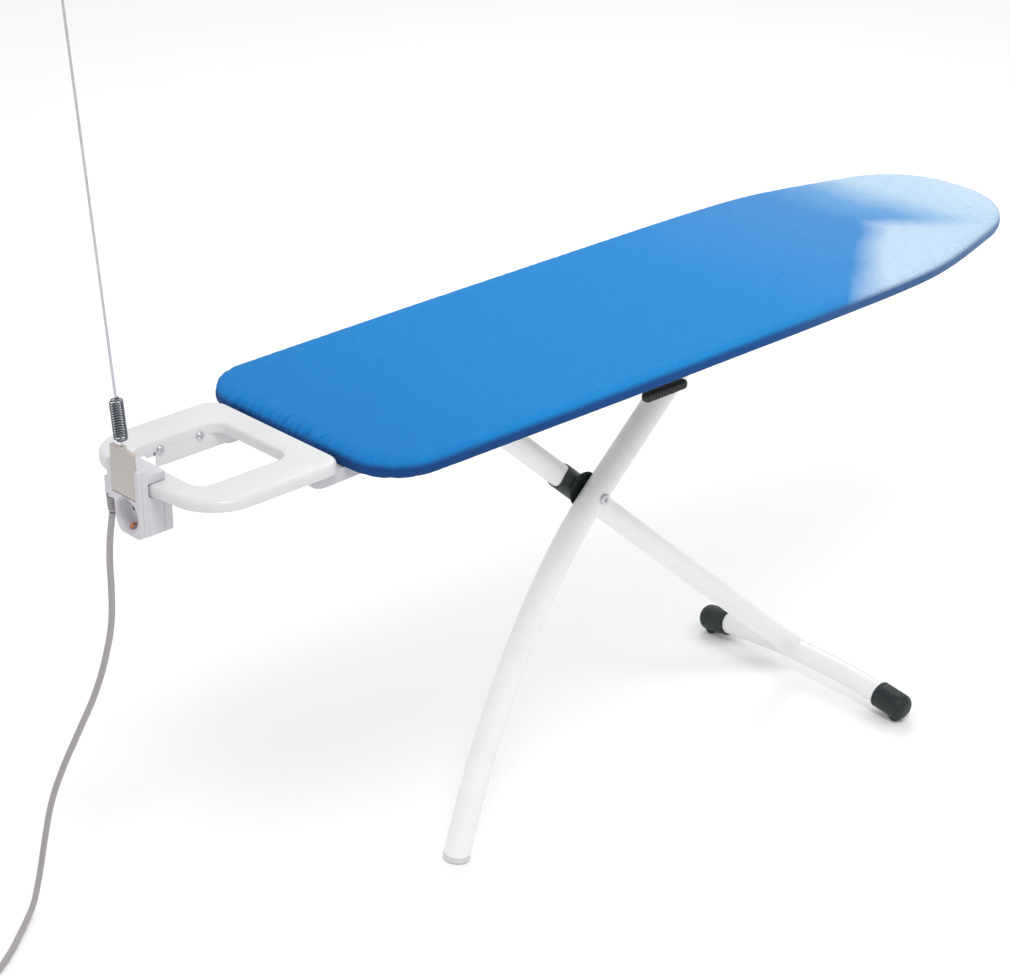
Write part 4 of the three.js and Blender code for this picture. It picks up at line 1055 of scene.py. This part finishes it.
def add_guide_spring():
    side = LEAN.orthogonal().normalized()
    other = LEAN.cross(side)
    turns, reach, wire, neck = 17, 7.5, 0.9, 4.2
    low, split, high = 9.0, 35.0, 61.0
    halves = (("spring_lower", low, split, "cable_guide", "guide_coil", 12, 32),
              ("spring_upper", split, high, "guide_coil", "guide_wand", 38, 58))
    for name, start, end, below, above, bend_from, bend_to in halves:
        centres = []
        steps = int(turns * 20 * (end - start) / (high - low))
        for i in range(steps + 1):
            h = start + (end - start) * i / steps
            angle = 2 * math.pi * turns * (h - low) / (high - low)
            radius = reach - neck * smooth((h - (high - 4)) / 4) - neck * smooth((low + 3 - h) / 3)
            centres.append(up_guide(h) + (side * math.cos(angle) + other * math.sin(angle)) * radius * MM)
        coil = wire_along(name, centres, wire, SPRING_STEEL, 10)
        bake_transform(coil)
        if below == "cable_guide":
            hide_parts("guide_spring")


def wire_along(name, centres, radius, material, count=16):
    """Round wire that follows the points, turning its section as little as it can."""
    rings = []
    normal = None
    for i, centre in enumerate(centres):
        along = (centres[min(i + 1, len(centres) - 1)] - centres[max(i - 1, 0)]).normalized()
        normal = along.orthogonal() if normal is None else normal - along * normal.dot(along)
        normal.normalize()
        other = along.cross(normal)
        outward = [normal * math.cos(a) + other * math.sin(a) for a in spin(count)]
        rings.append([centre + out * radius * MM for out in outward])
    return shade(loft(name, rings, material, capped=True), 50)


def add_guide_rod():
    """A straight wire that ends in a loop."""
    loop = up_guide(548)
    centres = [up_guide(49 + 12 * i) for i in range(40)] + [up_guide(527)]
    for angle in [math.radians(-78 + 344 * k / 48) for k in range(49)]:
        centres.append(loop + Vector((0, math.cos(angle), math.sin(angle))) * 9 * MM)
    put(wire_along("guide_wire", centres, 1.5, CHROME), "guide_wand", "steel", "guide_rod")


# ---- release lever ----
def add_lever_grip():
    """Black grip with rounded ends and a rib every few millimetres."""
    low, high, y, z, step = 432.0, 508.0, -164.0, 655.0, 0.5
    span = high - low
    rings = []
    for x in [step * i for i in range(int(span / step) + 1)]:
        ends = min(x, span - x)
        round_end = math.sqrt(max(1 - (1 - min(ends / 7.0, 1.0)) ** 2, 0.004))
        rib = 0.5 + 0.5 * math.cos(2 * math.pi * (x - span / 2) / 5.0)
        dip = 1.0 * smooth((0.55 - rib) / 0.5) * smooth((ends - 6) / 3)
        half_y, half_z = (7.0 - dip) * round_end, (6.5 - dip) * round_end
        ring = []
        for angle in spin(40):
            c, s = math.cos(angle), math.sin(angle)
            reach = (abs(c) ** 3 + abs(s) ** 3) ** (-1 / 3)
            ring.append(at(low + x, y + half_y * reach * c, z + half_z * reach * s))
        rings.append(ring)
    grip = shade(loft("ribbed_grip", rings, BLACK, capped=True), 60)
    put(grip, "lever", "dark_plastic", "lever_grip")


# ---- mains lead ----
ROUTE = [
    (-225, 40, 643.7), (-225, 44, 628), (-225, 49, 605), (-225, 52.5, 575), (-225, 53, 540), (-225, 57, 497),
    (-225, 71, 450), (-225, 99, 386), (-225, 142, 312), (-225, 187, 236), (-225, 219, 172), (-225, 240, 112),
    (-226, 253, 66), (-230, 258, 36), (-242, 253, 13.6), (-263, 238, 5.6), (-290, 216, 4.1), (-320, 192, 4),
    (-352, 171, 4), (-380, 157, 4), (-408, 147.5, 4), (-432, 142, 4),
]
TAIL = [(-458, 26.5, 13), (-446, 24, 15.5), (-434, 21.5, 18.6)]
COIL_X, COIL_Y = -450, 85
PLUG_HEADING = Vector((0.98, -0.2, 0)).normalized()


def coil_points():
    """The turns of the put-away lead, wound from outside in, up, and out again."""
    made = []
    first, turns = 110, 3.28
    count = round(turns * 18)
    for i in range(count + 1):
        t = turns * i / count
        radius = 48 - 8 * smooth((t - 0.8) / 0.2) + 8 * smooth((t - 2.5) / 0.18)
        radius += 5 * smooth((t - 3.05) / 0.28)
        height = 4 + 8 * smooth((t - 1.65) / 0.2)
        angle = math.radians(first + 360 * t)
        made.append((COIL_X + radius * math.cos(angle), COIL_Y + radius * math.sin(angle), height))
    return made


def add_cord_boot():
    """Tapered strain relief with its grooves."""
    profile = [(0, 3.0), (0, 6.1), (1.2, 6.2)]
    profile += repeated(5, 3.2, 3.3, 6.1, -0.2, ((0, 0), (0.3, -1.0), (1.2, -1.0), (1.5, -0.05)))
    profile += [(20.5, 5.0), (22.0, 4.6), (22.4, 4.15), (22.4, 3.0)]
    relief = lathe("cord_boot", profile, at(-225, 40, 667.6), (0, 0, -1), PVC)
    put(relief, "board", "cord_pvc", "cord_strain_relief")


def add_mains_lead():
    plug = add_plug()
    add_cord_boot()
    points = ROUTE + coil_points() + TAIL
    curve = bpy.data.curves.new("lead", "CURVE")
    curve.dimensions = "3D"
    curve.bevel_depth = 4 * MM
    curve.bevel_resolution = 5
    curve.resolution_u = 8
    spline = curve.splines.new("BEZIER")
    spline.bezier_points.add(len(points) - 1)
    for knot, point in zip(spline.bezier_points, points):
        knot.co = at(*point)
        knot.handle_left_type = "AUTO"
        knot.handle_right_type = "AUTO"
    curve.use_fill_caps = True
    curve.materials.append(PVC)
    lead = new_object("lead", curve)
    put(lead, "board", "cord_pvc", "mains_cord", "cord_coil", "cord_tail")


def add_plug():
    """Round two-pin plug lying on its side, with a grip waist and its ribbed neck."""
    profile = [(1.2, 4.1), (1.6, 5.0)]
    profile += repeated(3, 2.6, 3.6, 5.6, 0.7, ((0, 0), (2.0, 0.3), (2.3, -0.6), (3.2, -0.5)))
    profile += [(13.6, 8.0), (14.6, 10.6), (17, 12.6), (21, 15.2), (25.2, 17.6), (26.6, 18.3), (28, 18.4)]
    profile += [(31, 18.0), (34, 17.7), (37, 17.9), (40, 18.4), (43.2, 18.4), (43.8, 18.1), (44, 17.3)]
    profile.append((44, 0.1))
    plug = lathe("plug_body", profile, at(*TAIL[-1]), PLUG_HEADING, PVC, 64)
    return put(plug, "board", "cord_pvc", "mains_plug")


# ---- pins, bushes and the CAD pieces that keep their shape ----
def turned(name, node, body, profile, axis=1):
    """A steel pin along the node's own axis: profile takes its length and half width."""
    low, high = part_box(node)
    length = (high[axis] - low[axis]) / MM
    side = (axis + 1) % 3
    half = (high[side] - low[side]) / 2 / MM
    start = (low + high) / 2
    start[axis] = low[axis]
    direction = [0, 0, 0]
    direction[axis] = 1
    put(lathe(name, profile(length, half), start, direction, CHROME), body, "steel", node)


def plain_pin(length, half):
    chamfer = min(0.6, half * 0.3)
    return mirrored([(0, half - chamfer), (chamfer, half)], length)


def headed_pin(length, half):
    head = [(0, half - 2.2), (0.35, half - 0.9), (1.1, half), (2.9, half), (3, half - 0.4), (3, 4)]
    return mirrored(head, length)


def add_sleeve(name, node, body):
    """A plastic sleeve with a bore, along Y."""
    low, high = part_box(node)
    length, half, bore = (high.y - low.y) / MM, (high.x - low.x) / 2 / MM, 4.2
    start = Vector(((low.x + high.x) / 2, low.y, (low.z + high.z) / 2))
    profile = mirrored([(0.5, bore), (0, bore + 0.5), (0, half - 0.6), (0.6, half)], length)
    sleeve = turned_ring(name, profile, start, (0, 1, 0), (1, 0, 0), DARK, 48)
    put(sleeve, body, "dark_plastic", node)


def add_pins():
    turned("hinge_pin", "leg_hinge_pin", "board", headed_pin)
    turned("top_slider_pin", "slider_pin", "leg_a", plain_pin)
    turned("lever_axle", "lever_pin", "board", plain_pin, axis=0)
    add_sleeve("hinge_sleeve", "hinge_spacer", "board")
    for side in ("near", "far"):
        add_sleeve(f"glide_roller_{side}", f"glide_bush_{side}", "leg_a")


def dress(material, bevel, *nodes):
    """New finish on CAD pieces, with their sharp corners broken."""
    for piece in [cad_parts[node] for node in nodes]:
        for place in piece.material_slots:
            place.material = material
        if bevel:
            soften = piece.modifiers.new("broken_edges", "BEVEL")
            soften.width = bevel * MM
            soften.segments = 2
            soften.limit_method = "ANGLE"
            soften.angle_limit = math.radians(40)
            soften.harden_normals = True


def dress_cad():
    dress(POWDER, 0.8, "cross_member_head", "cross_member_middle", "cross_member_nose")
    dress(ZINC, 0.3, "rail_near", "rail_far", "height_rack", "lever_bracket", "release_lever")
    dress(CHROME, 0.8, "rest_arm_near", "rest_arm_far")
    dress(GREY, 1.2, "rest_bracket_near", "rest_bracket_far")
    dress(SPRING_STEEL, 0.5, "rest_catch")
    dress(COPPER, 0.15, "earth_clip_top", "earth_clip_bottom")
    dress(CHROME, 0, "lever_spring")
    dress(CHROME, 0.2, "spring_foot")
    dress(CHROME, 0.6, "plug_pin_left", "plug_pin_right")


add_camera()
add_mains_lead()
add_studio()
add_cover()
add_pad()
add_expanded_metal()
add_rim()
add_drawcord()
add_leg_a()
add_leg_b()
add_foot_bar()
add_crossing()
add_iron_rest()
add_socket_unit()
add_socket_insert()
add_guide_plate()
add_guide_spring()
add_guide_rod()
add_lever_grip()
add_pins()
dress_cad()
